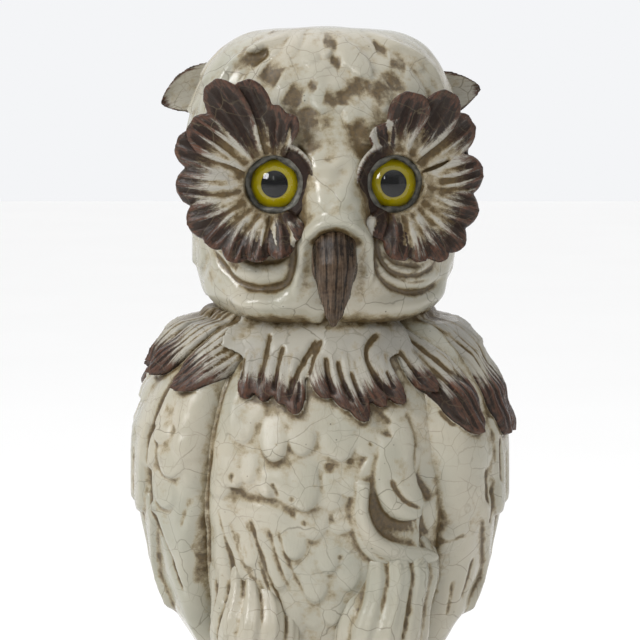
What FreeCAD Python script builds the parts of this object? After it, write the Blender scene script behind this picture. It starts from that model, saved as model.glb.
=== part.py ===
"""Glazed ceramic owl with glass eyes, standing on a tree stump.  Millimetres, +Z up.

The bird faces -Y.  Left and right are the bird's own, so its left side is +X.
The origin is the middle of the stump's flat underside.  The pottery is a set of pieces
that are cast or pressed one by one and luted together with slip while the clay is soft:
a hollow stump, torso and head, and solid wings, tail, legs, feet, feather collars,
face discs, ear tufts and beak.  Each eye is a glass dome over a painted iris and pupil,
bedded in putty in a socket bored through the head.
"""
import FreeCAD, Part
import os
from math import copysign, cos, pi, radians, sin, sqrt

V = FreeCAD.Vector

# ---- Driving dimensions -------------------------------------------------------------
STUMP_HEIGHT = 84.0
STUMP_RADIUS = 62.0
TORSO_HEIGHT = 203.0
TORSO_WIDTH = 152.0
TORSO_FRONT = 71.0      # breast, forward of the axis
TORSO_BACK = 58.0
HEAD_HEIGHT = 143.0
HEAD_WIDTH = 134.0
HEAD_FRONT = 62.0
HEAD_BACK = 58.0
HEAD_SHIFT = (2.0, -3.0)  # the head's axis, seen from above
HEAD_TURN = 5.0         # degrees towards the bird's left
WALL = 7.0              # fired wall of the cast shells
FLOOR = 8.0             # underside of the stump
VENT_RADIUS = 8.0       # lets steam out of the hollow in the kiln
VENT_BACK = 24.0        # how far behind the axis the vent is
LAP_DEPTH = 12.0        # the head's neck ring goes this far into the torso
LAP_WALL = 4.0
LAP_GAP = 0.4           # slip fills it
WING_STANDS = 16.0      # how far a wing stands out at the bird's widest point
COLLAR_THICK = 5.0
MANTLE_THICK = 4.0
EYE_SPACING = 61.0
EYE_HEIGHT = 68.0       # above the neck joint
EYE_SPLAY = 14.0        # degrees that each eye looks outwards
EYE_PROUD = 0.5         # how far the socket's rim stands forward of the head
GLASS_RADIUS = 12.0
GLASS_EDGE = 1.5
GLASS_DOME = 7.0
GLASS_SUNK = 7.5        # the back of the glass, below the socket's rim
PAINT = 0.5             # enamel behind the glass
IRIS_EDGE = 0.8         # clear glass left round the iris
PUPIL_RADIUS = 6.6
PUTTY_WALL = 2.0        # between the glass and the socket
PUTTY_LIP = 2.0         # above the edge of the glass
PUTTY_BACK = 5.0        # behind the enamel
DISC_RIM = 12.0         # how far the face disc rises from socket to rim
DISC_SUNK = 2.0         # its middle, below the socket's rim
DISC_EDGE = 4.0         # thickness of the petals' tips
DISC_ROOT = 30.0        # how far back it reaches, into the head
BEAK_LENGTH = 37.0
BEAK_WIDTH = 20.0
EAR_THICK = 9.0
EAR_BACK = 12.0         # how far behind the head's axis the ear tufts start
TAIL_WIDTH = 66.0
TAIL_THICK = 22.0
TAIL_TIP = 30.0         # above the underside
THIGH_RADIUS = 21.0
FOOT_SPACING = 40.0
TOE_RADIUS = 6.2
TALON_LENGTH = 11.0

NECK = STUMP_HEIGHT + TORSO_HEIGHT
EYE_Z = NECK + EYE_HEIGHT
EYE_DEPTH = HEAD_FRONT + EYE_PROUD
SOCKET_RADIUS = GLASS_RADIUS + PUTTY_WALL
IRIS_RADIUS = GLASS_RADIUS - IRIS_EDGE
CUT = 1.0               # how far a cutting tool runs past the face it opens
RING_POINTS = 28
ROUNDNESS = 2.3         # 2 is an ellipse, more is squarer

# Rows are (share of the height, share of the width, of the front, of the back).
TORSO_ROWS = [(0.00, 0.60, 0.65, 0.76), (0.13, 0.63, 0.69, 0.80), (0.28, 0.76, 0.83, 0.87),
              (0.42, 0.89, 0.93, 0.94), (0.57, 0.98, 1.00, 0.98), (0.71, 1.00, 0.99, 1.00),
              (0.82, 0.94, 0.93, 0.97), (0.91, 0.83, 0.83, 0.91), (0.97, 0.71, 0.73, 0.83),
              (1.00, 0.63, 0.65, 0.76)]
# How much of WING_STANDS shows at the same heights.
WING_ROWS = [0.05, 0.42, 0.90, 0.85, 0.95, 1.00, 0.98, 0.85, 0.80, 0.80]
# A wing's edges: (share of the torso's half width, share of its height below the neck).
WING_FRONT_EDGE = [(0.40, -0.01), (0.53, 0.12), (0.72, 0.30), (0.75, 0.52), (0.74, 0.69), (0.58, 0.91)]
WING_BACK_EDGE = [(0.11, -0.01), (0.13, 0.34), (0.21, 0.69), (0.53, 0.91)]
HEAD_ROWS = [(0.00, 0.69, 0.71, 0.69), (0.03, 0.79, 0.84, 0.79), (0.09, 0.88, 0.93, 0.88),
             (0.17, 0.94, 0.98, 0.93), (0.28, 0.97, 1.00, 0.97), (0.42, 0.99, 1.00, 1.00),
             (0.58, 1.00, 0.98, 1.00), (0.70, 0.98, 0.93, 0.98), (0.80, 0.92, 0.84, 0.91),
             (0.87, 0.84, 0.74, 0.82), (0.93, 0.74, 0.63, 0.71), (0.975, 0.58, 0.48, 0.55),
             (1.00, 0.36, 0.29, 0.34)]
STUMP_ROWS = [(0.00, 0.98), (0.08, 1.00), (0.35, 0.95), (0.65, 0.93), (0.90, 0.95), (1.00, 0.91)]

# Petals of the face discs: (degrees from straight outwards, length from the eye's centre).
RIGHT_PETALS = [(104, 35), (76, 50), (58, 55), (36, 47), (21, 50), (0, 46), (-25, 44), (-43, 41),
                (-65, 40), (-81, 35), (-97, 34), (-112, 31)]
LEFT_PETALS = [(107, 30), (81, 43), (62, 48), (40, 46), (8, 43), (-18, 41), (-42, 42),
               (-60, 40), (-74, 37), (-94, 35), (-112, 29)]
DISC_INNER = 19.0       # the disc's edge beside the nose
# Where a lobe's round end begins, as shares of the way from its tip to the valley beside it.
ROUND_ALONG = 0.66
ROUND_OUT = 0.38
# Tips of the collar's lobes: (across, below the neck joint).
BIB_TIPS = [(-36, 31), (-25, 33), (-11, 39), (3, 34), (17, 43), (34, 36), (46, 33)]
BIB_TOP = (-33, 38)     # where the collar starts and ends at the neck
# The same for the feathers over the shoulders, measured outwards.
LEFT_MANTLE_TIPS = [(70, 48), (82, 54), (92, 59)]
RIGHT_MANTLE_TIPS = [(64, 32), (76, 24), (88, 20)]


# ---- Shared helpers -----------------------------------------------------------------
def ring(z, middle, half_width, front, back, squareness=ROUNDNESS):
    """A closed smooth outline at one height."""
    points = []
    for i in range(RING_POINTS):
        turn = 2 * pi * i / RING_POINTS
        across, along = cos(turn), sin(turn)
        reach = back if along > 0 else front
        x = half_width * copysign(abs(across) ** (2 / squareness), across)
        y = reach * copysign(abs(along) ** (2 / squareness), along)
        points.append(V(middle[0] + x, middle[1] + y, z))
    curve = Part.BSplineCurve()
    curve.interpolate(points, PeriodicFlag=True)
    return Part.Wire([curve.toShape()])


def loft(rings):
    return Part.makeLoft(rings, True, False)


def torso_form(grow=0.0, wings=0.0, past=0.0):
    """The torso's outside, grown by a distance; wings adds that share of the wings."""
    rings = []
    for n, (up, width, front, back) in enumerate(TORSO_ROWS):
        z = STUMP_HEIGHT + up * TORSO_HEIGHT
        z += past * (n == len(TORSO_ROWS) - 1) - past * (n == 0)
        stands = WING_STANDS * WING_ROWS[n] * wings
        rings.append(ring(z, (0, 0), TORSO_WIDTH / 2 * width + stands + grow,
                          TORSO_FRONT * front + 0.2 * stands + grow,
                          TORSO_BACK * back + 0.55 * stands + grow))
    return loft(rings)


def head_form(grow=0.0, past=0.0):
    """The head's outside about its own axis, facing -Y."""
    rings = []
    for n, (up, width, front, back) in enumerate(HEAD_ROWS):
        z = NECK + up * (HEAD_HEIGHT + grow) - past * (n == 0)
        rings.append(ring(z, (0, 0), HEAD_WIDTH / 2 * width + grow,
                          HEAD_FRONT * front + grow, HEAD_BACK * back + grow))
    return loft(rings)


def stump_form(grow=0.0, bottom=0.0, top=STUMP_HEIGHT):
    rings = []
    for up, radius in STUMP_ROWS:
        r = STUMP_RADIUS * radius + grow
        rings.append(ring(bottom + up * (top - bottom), (0, 0), r, r, r, 2.0))
    return loft(rings)


def on_head(shape):
    """Carries a shape from the head's own frame to where the head sits."""
    placed = shape.copy()
    placed.rotate(V(0, 0, 0), V(0, 0, 1), HEAD_TURN)
    placed.translate(V(HEAD_SHIFT[0], HEAD_SHIFT[1], 0))
    return placed


def at_eye(shape, side):
    """Carries a shape from the eye's frame, where +Z looks out of the socket and +Y is up."""
    placed = shape.copy()
    placed.rotate(V(0, 0, 0), V(1, 0, 0), 90)
    placed.rotate(V(0, 0, 0), V(0, 0, 1), side * EYE_SPLAY)
    placed.translate(V(side * EYE_SPACING / 2, -EYE_DEPTH, EYE_Z))
    return placed


def arc(a, b, c):
    return Part.Arc(V(*a), V(*b), V(*c)).toShape()


def line(a, b):
    return Part.makeLine(V(*a), V(*b))


def slab(edges, depth):
    """A closed outline pushed along a vector."""
    return Part.Face(Part.Wire(edges)).extrude(V(*depth))


def scallops(tips, valleys, place):
    """A wavy edge of round-ended lobes.  Tips and valleys are (along, out) pairs, and place
    puts such a pair in space."""
    edges = []
    for before, tip, after in zip(valleys, tips, valleys[1:]):
        near, far = [(tip[0] + ROUND_ALONG * (end[0] - tip[0]), tip[1] + ROUND_OUT * (end[1] - tip[1]))
                     for end in (before, after)]
        edges += [line(place(before), place(near)), arc(place(near), place(tip), place(far)),
                  line(place(far), place(after))]
    return edges


def valleys_between(tips, start, end, depth):
    """The low points between lobes, and the two given ends."""
    middle = [((a[0] + b[0]) / 2, min(a[1], b[1]) - depth) for a, b in zip(tips, tips[1:])]
    return [start] + middle + [end]


def biggest(shape):
    """The largest solid of a cut, without its splinters."""
    return max(shape.Solids, key=lambda s: s.Volume)


def ellipsoid(middle, radii):
    sphere = Part.makeSphere(1.0)
    scale = FreeCAD.Matrix()
    scale.scale(V(*radii))
    made = sphere.transformGeometry(scale)
    made.translate(V(*middle))
    return made


# ---- Forms that several pieces are cut against ---------------------------------------
torso = torso_form()
bird = torso_form(wings=1.0)
stump = stump_form()

nose_rings = []
for up, reach, half in [(20, 1.0, 12.0), (32, 4.0, 13.5), (44, 9.0, 13.0), (56, 9.0, 9.0),
                        (68, 6.0, 8.0), (84, 2.0, 10.0), (92, -2.0, 11.0)]:
    nose_rings.append(ring(NECK + up, (0, -HEAD_FRONT + 14), half, 14 + reach, 12.0))
nose = loft(nose_rings)
head = head_form().fuse(nose)


# ---- Cast shells ----------------------------------------------------------------------
def stump_base():
    hollow = stump_form(-WALL, FLOOR, STUMP_HEIGHT - WALL)
    _, width, front, back = TORSO_ROWS[0]
    mouth = (TORSO_WIDTH / 2 * width - WALL, TORSO_FRONT * front - WALL, TORSO_BACK * back - WALL)
    opening = loft([ring(STUMP_HEIGHT - 2 * WALL, (0, 0), *mouth),
                    ring(STUMP_HEIGHT + CUT, (0, 0), *mouth)])
    vent = Part.makeCylinder(VENT_RADIUS, FLOOR + 2 * CUT, V(0, VENT_BACK, -CUT))
    return stump.cut(hollow).cut(opening).cut(vent)


def torso_shell():
    return torso.cut(torso_form(-WALL, past=CUT))


def head_shell():
    inside = head_form(-WALL, past=CUT)
    _, width, front, back = TORSO_ROWS[-1]
    size = (TORSO_WIDTH / 2 * width, TORSO_FRONT * front, TORSO_BACK * back)
    outer = [s - WALL - LAP_GAP for s in size]
    inner = [s - LAP_WALL for s in outer]
    low, high = NECK - LAP_DEPTH, NECK + 2 * WALL
    collar = loft([ring(low, (0, 0), *outer), ring(high, (0, 0), *outer)])
    collar = collar.cut(loft([ring(low - CUT, (0, 0), *inner), ring(high + CUT, (0, 0), *inner)]))
    above = Part.makeBox(400, 400, 100, V(-200, -200, NECK))
    below = Part.makeBox(400, 400, 100, V(-200, -200, NECK - 100))
    shell = on_head(head.cut(inside))
    neck_ring = collar.common(below).fuse(collar.common(above).common(on_head(head)))
    shell = shell.fuse(neck_ring)
    for side in (-1, 1):
        socket = Part.makeCylinder(SOCKET_RADIUS, 60, V(0, 0, -22))
        shell = shell.cut(on_head(at_eye(socket, side)))
    return biggest(shell)


# ---- Feathers, wings and tail ----------------------------------------------------------
def wing(side):
    """Shell-like wing: the space between the bird's outside and the torso, to one side."""
    regions = []
    for edge, y, depth in ((WING_FRONT_EDGE, -120, 120), (WING_BACK_EDGE, 0, 120)):
        points = [(side * TORSO_WIDTH / 2 * out, y, NECK - TORSO_HEIGHT * down) for out, down in edge]
        curve = Part.BSplineCurve()
        curve.interpolate([V(*p) for p in points])
        far_top = (side * TORSO_WIDTH, y, points[0][2])
        far_low = (side * TORSO_WIDTH, y, points[-1][2])
        outline = [curve.toShape(), line(points[-1], far_low), line(far_low, far_top),
                   line(far_top, points[0])]
        regions.append(slab(outline, (0, depth, 0)))
    region = regions[0].fuse(regions[1])
    return biggest(bird.cut(torso).common(region).cut(on_head(head)))


def bib_feathers(neighbours):
    """The collar of feathers on the breast, under the chin."""
    def place(p):
        return (p[0], -120, NECK - p[1])
    first, last = BIB_TIPS[0], BIB_TIPS[-1]
    valleys = valleys_between(BIB_TIPS, (first[0] - 6, first[1] - 9), (last[0] + 5, last[1] - 9), 5)
    left, right = (BIB_TOP[0], -1), (BIB_TOP[1], -1)
    edges = [line(place(left), place(valleys[0]))] + scallops(BIB_TIPS, valleys, place)
    edges += [line(place(valleys[-1]), place(right)), line(place(right), place(left))]
    collar = torso_form(COLLAR_THICK).common(slab(edges, (0, 120, 0))).cut(torso)
    for other in neighbours:
        collar = collar.cut(other)
    return biggest(collar)


def mantle(side, wing_piece):
    """Shoulder feathers that fan out from the neck over the wing."""
    tips = LEFT_MANTLE_TIPS if side > 0 else RIGHT_MANTLE_TIPS
    first, last = tips[0], tips[-1]
    valleys = valleys_between(tips, (first[0] - 12, first[1] - 12), (110, last[1] - 8), 4)

    def place(p):
        return (side * p[0], -120, NECK - p[1])
    start, end = (34, -1), (110, -1)
    edges = [line(place(start), place(valleys[0]))] + scallops(tips, valleys, place)
    edges += [line(place(valleys[-1]), place(end)), line(place(end), place(start))]
    cover = torso_form(MANTLE_THICK, 1.0).common(slab(edges, (0, 150, 0)))
    return biggest(cover.cut(bird).cut(torso).cut(wing_piece).cut(on_head(head)))


def tail(neighbours):
    """A flat plate that leaves the back and hangs down behind the stump."""
    drop = STUMP_HEIGHT - TAIL_TIP
    # Rows are (above the stump's top, middle behind the axis, share of the width, of the thickness).
    rows = [(0.52 * TORSO_HEIGHT, TORSO_BACK - 8, 0.60, 0.8), (0.32 * TORSO_HEIGHT, TORSO_BACK - 4, 0.84, 1.0),
            (0.10 * TORSO_HEIGHT, STUMP_RADIUS - 5, 1.0, 1.0), (-0.45 * drop, STUMP_RADIUS - 3, 1.0, 0.8),
            (-0.85 * drop, STUMP_RADIUS - 2, 0.92, 0.65), (-drop, STUMP_RADIUS - 2, 0.7, 0.45)]
    rings = []
    for up, behind, width, share in rows:
        thick = TAIL_THICK / 2 * share
        rings.append(ring(STUMP_HEIGHT + up, (0, behind), TAIL_WIDTH / 2 * width, thick, thick, 3.0))
    plate = loft(rings)
    for other in neighbours:
        plate = plate.cut(other)
    return biggest(plate)


# ---- Legs and feet ----------------------------------------------------------------------
def leg(side, neighbours):
    """A feathered thigh that narrows to the foot."""
    ankle = FOOT_SPACING / 2
    # Rows are (above the stump's top, outwards, forward, share of the thigh's radius).
    rows = [(94, ankle + 14, TORSO_FRONT - 33, 0.72), (76, ankle + 14, TORSO_FRONT - 25, 1.0),
            (54, ankle + 9, TORSO_FRONT - 22, 1.02), (32, ankle + 4, TORSO_FRONT - 23, 0.84),
            (12, ankle, TORSO_FRONT - 27, 0.66)]
    rings = []
    for up, out, forward, share in rows:
        r = THIGH_RADIUS * share
        rings.append(ring(STUMP_HEIGHT + up, (side * out, -forward), r, r, r, 2.0))
    muff = loft(rings)
    for other in neighbours:
        muff = muff.cut(other)
    return biggest(muff)


def foot(side, neighbours):
    """Three toes that grip the stump's front edge, each drawn out into a talon."""
    edge = -STUMP_RADIUS * STUMP_ROWS[-1][1]
    made = ellipsoid((side * FOOT_SPACING / 2, edge + 10, STUMP_HEIGHT + 7), (14, 12, 8))
    # Along a toe: (forward of the stump's edge, above its top, share of the toe's radius).
    path = [(-12, 5, 0.9), (-2, 7, 1.0), (6, 2.5, 1.0), (10, -6, 0.85), (9.5, -6 - TALON_LENGTH, 0.15)]
    for step in (-1, 0, 1):
        wires = []
        for n, (forward, up, share) in enumerate(path):
            here = V(side * FOOT_SPACING / 2 + step * (8 + 0.9 * n), edge - forward, STUMP_HEIGHT + up)
            before, after = path[max(n - 1, 0)], path[min(n + 1, len(path) - 1)]
            heading = V(step * 0.9, before[0] - after[0], after[1] - before[1])
            wires.append(Part.Wire([Part.makeCircle(TOE_RADIUS * share, here, heading)]))
        made = made.fuse(loft(wires))
    for other in neighbours:
        made = made.cut(other)
    return biggest(made)


# ---- Face ---------------------------------------------------------------------------------
def face_disc(side, petals):
    """A dish of petals round the eye, whose back runs into the head."""
    def place(p):
        angle, out = radians(p[0]), p[1]
        return (side * out * cos(angle), out * sin(angle), -40)
    first, last = petals[0], petals[-1]
    valleys = valleys_between(petals, (first[0] + 14, first[1] * 0.75), (last[0] - 10, last[1] * 0.8), 4)
    top, bottom, nose_side = (150, DISC_INNER), (-150, DISC_INNER), (180, DISC_INNER)
    edges = scallops(petals, valleys, place)
    edges += [line(place(valleys[-1]), place(bottom)),
              arc(place(bottom), place(nose_side), place(top)), line(place(top), place(valleys[0]))]
    region = slab(edges, (0, 0, 80))
    reach = max(length for _, length in petals)
    low = -DISC_SUNK
    profile = [V(SOCKET_RADIUS, 0, low), V(reach * 0.5, 0, low + DISC_RIM * 0.22),
               V(reach * 0.8, 0, low + DISC_RIM * 0.65), V(reach + 1, 0, low + DISC_RIM)]
    front = Part.BSplineCurve()
    front.interpolate(profile)
    back = [V(reach + 1, 0, low + DISC_RIM - DISC_EDGE), V(reach * 0.74, 0, -DISC_ROOT),
            V(SOCKET_RADIUS, 0, -DISC_ROOT)]
    edges = [front.toShape()]
    corners = [profile[-1]] + back + [profile[0]]
    edges += [Part.makeLine(p, q) for p, q in zip(corners, corners[1:])]
    dish = Part.Face(Part.Wire(edges)).revolve(V(0, 0, 0), V(0, 0, 1), 360)
    disc = at_eye(dish.common(region), side).cut(head)
    return on_head(biggest(disc))


def beak():
    rings = []
    for down, y, width, front in [(-2, -4, 0.72, 10), (8, -5, 1.0, 14), (20, -6, 0.88, 14),
                                  (30, -8, 0.56, 10), (BEAK_LENGTH, -12, 0.16, 4)]:
        z = NECK + 42 - down
        half = BEAK_WIDTH / 2 * width
        rings.append(ring(z, (0, -HEAD_FRONT + y + 6), half, front, 9, 2.0))
    return on_head(biggest(loft(rings).cut(head)))


def ear_tuft(side):
    """A pointed leaf on the side of the head, behind the face disc."""
    def place(p):
        return (side * (HEAD_WIDTH / 2 + p[0]), 0, NECK + HEAD_HEIGHT - p[1])
    low, tip, high = (-12, 55), (13, 35), (-16, 22)
    edges = [arc(place(low), place((3, 49)), place(tip)), arc(place(tip), place((-2, 24)), place(high)),
             line(place(high), place(low))]
    leaf = slab(edges, (0, EAR_THICK, 0))
    middle = (side * HEAD_WIDTH / 2, EAR_THICK / 2, NECK + HEAD_HEIGHT - 38)
    tuft = leaf.common(ellipsoid(middle, (26, EAR_THICK * 0.55, 26)))
    tuft.translate(V(0, EAR_BACK, 0))
    return on_head(biggest(tuft.cut(head)))


# ---- Eyes ----------------------------------------------------------------------------------
def eye(side):
    """Putty, glass dome, iris and pupil, all on the eye's own axis."""
    seat = -GLASS_SUNK
    sphere_radius = (GLASS_RADIUS ** 2 + GLASS_DOME ** 2) / (2 * GLASS_DOME)
    rim = seat + GLASS_EDGE
    middle = rim + GLASS_DOME - sphere_radius
    mid_r = GLASS_RADIUS * 0.6
    on_dome = V(mid_r, 0, middle + sqrt(sphere_radius ** 2 - mid_r ** 2))
    dome = Part.Arc(V(GLASS_RADIUS, 0, rim), on_dome, V(0, 0, rim + GLASS_DOME)).toShape()
    outline = [dome, Part.makeLine(V(0, 0, rim + GLASS_DOME), V(0, 0, seat)),
               Part.makeLine(V(0, 0, seat), V(GLASS_RADIUS, 0, seat)),
               Part.makeLine(V(GLASS_RADIUS, 0, seat), V(GLASS_RADIUS, 0, rim))]
    glass = Part.Face(Part.Wire(outline)).revolve(V(0, 0, 0), V(0, 0, 1), 360)
    pupil = Part.makeCylinder(PUPIL_RADIUS, PAINT, V(0, 0, seat - PAINT))
    iris = Part.makeCylinder(IRIS_RADIUS, PAINT, V(0, 0, seat - PAINT)).cut(pupil)
    low = seat - PAINT - PUTTY_BACK
    putty = Part.makeCylinder(SOCKET_RADIUS, rim + PUTTY_LIP - low, V(0, 0, low))
    putty = putty.cut(Part.makeCylinder(GLASS_RADIUS, GLASS_SUNK + PUTTY_LIP + CUT, V(0, 0, seat)))
    putty = putty.cut(iris).cut(pupil)
    made = {"eye_putty": putty, "eye_glass": glass, "eye_iris": iris, "eye_pupil": pupil}
    return {name: on_head(at_eye(shape, side)) for name, shape in made.items()}


# ---- Assembly -------------------------------------------------------------------------------
SIDES = {"right": -1, "left": 1}
pieces = {"stump_base": stump_base(), "torso_shell": torso_shell(), "head_shell": head_shell(),
          "beak": beak()}
for name, side in SIDES.items():
    pieces[name + "_wing"] = wing(side)
    pieces[name + "_mantle_feathers"] = mantle(side, pieces[name + "_wing"])
    pieces[name + "_face_disc"] = face_disc(side, LEFT_PETALS if side > 0 else RIGHT_PETALS)
    pieces[name + "_ear_tuft"] = ear_tuft(side)
    for part_name, shape in eye(side).items():
        pieces[name + "_" + part_name] = shape
beside = [pieces[name + "_wing"] for name in SIDES]
shoulders = [pieces[name + "_mantle_feathers"] for name in SIDES]
placed_head = on_head(head)
pieces["bib_feathers"] = bib_feathers(beside + shoulders + [placed_head, pieces["beak"]])
pieces["tail"] = tail([torso, stump] + beside)
for name, side in SIDES.items():
    pieces[name + "_leg"] = leg(side, [torso, stump] + beside)
    pieces[name + "_foot"] = foot(side, [torso, stump, pieces[name + "_leg"]])

os.makedirs("parts", exist_ok=True)
for name, shape in pieces.items():
    if not shape.isValid():
        raise ValueError(name + " isn't a valid solid")
    shape.exportStep("parts/" + name + ".step")
    box = shape.BoundBox
    print(f"{name}: {len(shape.Solids)} solid, {shape.Volume / 1000:.1f} cm3, "
          f"X {box.XMin:.1f}..{box.XMax:.1f} Y {box.YMin:.1f}..{box.YMax:.1f} Z {box.ZMin:.1f}..{box.ZMax:.1f}")
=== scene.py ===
# %% [markdown]
# # A glazed ceramic owl with glass eyes
# The figure is pottery: soft, rounded relief under a thick glossy glaze that has crazed with age. Brown
# oxide was brushed on the feather tips, and an olive-brown stain sits in every hollow.
#
# Clay has no panels or edges, so plain polygon modelling is slow here. This notebook works as a potter does:
# it keeps each piece as a block of voxels that hold the distance to the surface, presses relief into it with
# drawn strokes, and lets Blender's own OpenVDB library turn the block into one closed mesh of even quads.

# %% Load the frame
import math
import bpy
import numpy as np
import openvdb
from mathutils import Matrix, Vector


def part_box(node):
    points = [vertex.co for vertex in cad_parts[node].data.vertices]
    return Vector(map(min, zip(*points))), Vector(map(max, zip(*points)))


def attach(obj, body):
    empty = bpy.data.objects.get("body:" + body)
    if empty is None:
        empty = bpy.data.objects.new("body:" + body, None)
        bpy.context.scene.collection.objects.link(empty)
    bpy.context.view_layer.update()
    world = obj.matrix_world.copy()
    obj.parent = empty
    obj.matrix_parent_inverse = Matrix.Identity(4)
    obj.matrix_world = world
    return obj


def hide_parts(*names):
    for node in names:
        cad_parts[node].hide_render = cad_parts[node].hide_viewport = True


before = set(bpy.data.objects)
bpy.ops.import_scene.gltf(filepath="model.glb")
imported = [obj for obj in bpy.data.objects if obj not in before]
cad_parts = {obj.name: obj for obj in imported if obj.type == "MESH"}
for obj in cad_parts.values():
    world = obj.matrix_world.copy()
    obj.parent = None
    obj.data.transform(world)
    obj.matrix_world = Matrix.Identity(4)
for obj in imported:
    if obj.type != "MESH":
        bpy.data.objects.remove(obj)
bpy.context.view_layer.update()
MM = 0.001
print("nodes in the frame:", len(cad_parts))

# %% [markdown]
# ## Clay as distances
# A voxel holds how far it is from the clay's surface, in millimetres, and is negative inside. Two shapes
# join by taking the smaller distance. Mixing the two where they are nearly equal fills the crease between
# them, as slip and glaze do. That one trick gives the whole figure its molten look.

# %% Clay helpers
FINE = 0.8      # voxel of the face, in mm
BROAD = 1.2     # voxel of the body, in mm


def melt(a, b, soft):
    """The union of two shapes, with its crease filled over a width of soft mm."""
    share = np.clip(0.5 + 0.5 * (a - b) / soft, 0, 1)
    return a + (b - a) * share - soft * share * (1 - share)


def carve(a, b, soft):
    """Shape a with shape b cut out of it."""
    return -melt(-a, b, soft)


def true_distance(g, step):
    """Turns any function that is zero on a surface into a distance near that surface."""
    steep = np.sqrt(sum(part ** 2 for part in np.gradient(g, step)))
    return g / np.maximum(steep, 1e-3)


def smooth_step(low, high, value):
    t = np.clip((value - low) / (high - low), 0, 1)
    return t * t * (3 - 2 * t)


def box_blur(a, reach, axis):
    """A running mean over 2 * reach + 1 cells along one axis."""
    pads = [(0, 0)] * a.ndim
    pads[axis] = (reach + 1, reach)
    total = np.cumsum(np.pad(a, pads, mode="edge"), axis=axis, dtype=np.float64)
    width = 2 * reach + 1
    high = np.take(total, range(width, total.shape[axis]), axis)
    low = np.take(total, range(0, total.shape[axis] - width), axis)
    return ((high - low) / width).astype(np.float32)


def blur(a, reach):
    """Two running means along each axis, which is close to a round blur."""
    for axis in list(range(a.ndim)) * 2:
        a = box_blur(a, reach, axis)
    return a


class Clay:
    """A block of voxels between two corners, in mm."""
    def __init__(self, low, high, step):
        self.low, self.step = np.array(low, float), step
        size = np.ceil((np.array(high, float) - self.low) / step).astype(int) + 1
        self.d = np.full(size, 30.0, np.float32)

    def near(self, low, high):
        """The voxels inside a box: their place in the block, and their x, y and z."""
        first = np.clip(np.floor((np.array(low) - self.low) / self.step).astype(int), 0, self.d.shape)
        last = np.clip(np.ceil((np.array(high) - self.low) / self.step).astype(int) + 1, 0, self.d.shape)
        part = tuple(slice(a, b) for a, b in zip(first, last))
        axes = [self.low[i] + self.step * np.arange(first[i], last[i]) for i in range(3)]
        return part, *np.meshgrid(*[a.astype(np.float32) for a in axes], indexing="ij", sparse=True)

    def whole(self):
        return self.near(self.low, self.low + self.step * (np.array(self.d.shape) - 1))

    def rod(self, points, radii, soft=1.0, squash=(1, 1, 1)):
        """Adds a chain of tapering round rods.  squash stretches it along each axis."""
        points = np.array(points, float)
        squash = np.array(squash, float)
        margin = (max(radii) + soft + 3) * squash
        part, x, y, z = self.near(points.min(0) - margin, points.max(0) + margin)
        best = None
        for a, b, ra, rb in zip(points, points[1:], radii, radii[1:]):
            ab = (b - a) / squash
            px, py, pz = [(c - o) / s for c, o, s in zip((x, y, z), a, squash)]
            t = np.clip((px * ab[0] + py * ab[1] + pz * ab[2]) / (ab @ ab), 0, 1)
            away = np.sqrt((px - t * ab[0]) ** 2 + (py - t * ab[1]) ** 2 + (pz - t * ab[2]) ** 2)
            d = away - (ra + t * (rb - ra))
            best = d if best is None else melt(best, d, 0.6 * min(ra, rb) + 0.2)
        self.d[part] = melt(self.d[part], best * squash.min(), soft)

    def read(self, points, values=None):
        """Values of the block at points inside it, mixed between the eight nearest voxels."""
        values = self.d if values is None else values
        cell = (points - self.low) / self.step
        top = np.array(values.shape) - 1.001
        cell = np.clip(cell, 0, top)
        i = cell.astype(int)
        f = cell - i
        found = 0
        for corner in np.ndindex(2, 2, 2):
            weight = np.prod([f[:, k] if corner[k] else 1 - f[:, k] for k in range(3)], axis=0)
            found = found + weight * values[i[:, 0] + corner[0], i[:, 1] + corner[1], i[:, 2] + corner[2]]
        return found

    def surface(self):
        """Points, in mm in the block's own frame, and quads of the clay's surface."""
        self.d[[0, -1]] = self.d[:, [0, -1]] = self.d[:, :, [0, -1]] = 5.0
        grid = openvdb.FloatGrid(background=30.0)
        grid.copyFromArray(np.ascontiguousarray(self.d))
        points, quads = grid.convertToQuads(0.0)
        return points.astype(float) * self.step + self.low, quads


def make_piece(name, points, quads, marks):
    """A smooth-shaded mesh object from points in mm, with named values on its points."""
    mesh = bpy.data.meshes.new(name)
    mesh.vertices.add(len(points))
    mesh.vertices.foreach_set("co", (points * MM).astype(np.float32).ravel())
    mesh.loops.add(quads.size)
    mesh.loops.foreach_set("vertex_index", quads.astype(np.int32).ravel())
    mesh.polygons.add(len(quads))
    mesh.polygons.foreach_set("loop_start", np.arange(0, quads.size, 4, dtype=np.int32))
    mesh.update(calc_edges=True)
    mesh.validate()
    mesh.shade_smooth()
    for label, values in marks.items():
        mark = mesh.attributes.new(label, "FLOAT", "POINT")
        mark.data.foreach_set("value", values.astype(np.float32))
    piece = bpy.data.objects.new(name, mesh)
    bpy.context.scene.collection.objects.link(piece)
    print(f"{name}: {len(points)} points, {2 * len(quads)} triangles")
    return piece


# %% [markdown]
# ## Relief as a drawing
# The relief on the body is like a sheet of paper wrapped round it. On the sheet, u runs round the bird from
# the middle of its breast and v goes up. Each cell holds a height, how brown it is painted and how much
# stain and painted shade it holds. A feather is a path with a width and a thickness, so a few points give a
# whole feather.

# %% Relief helpers
CELL = 0.5


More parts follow.
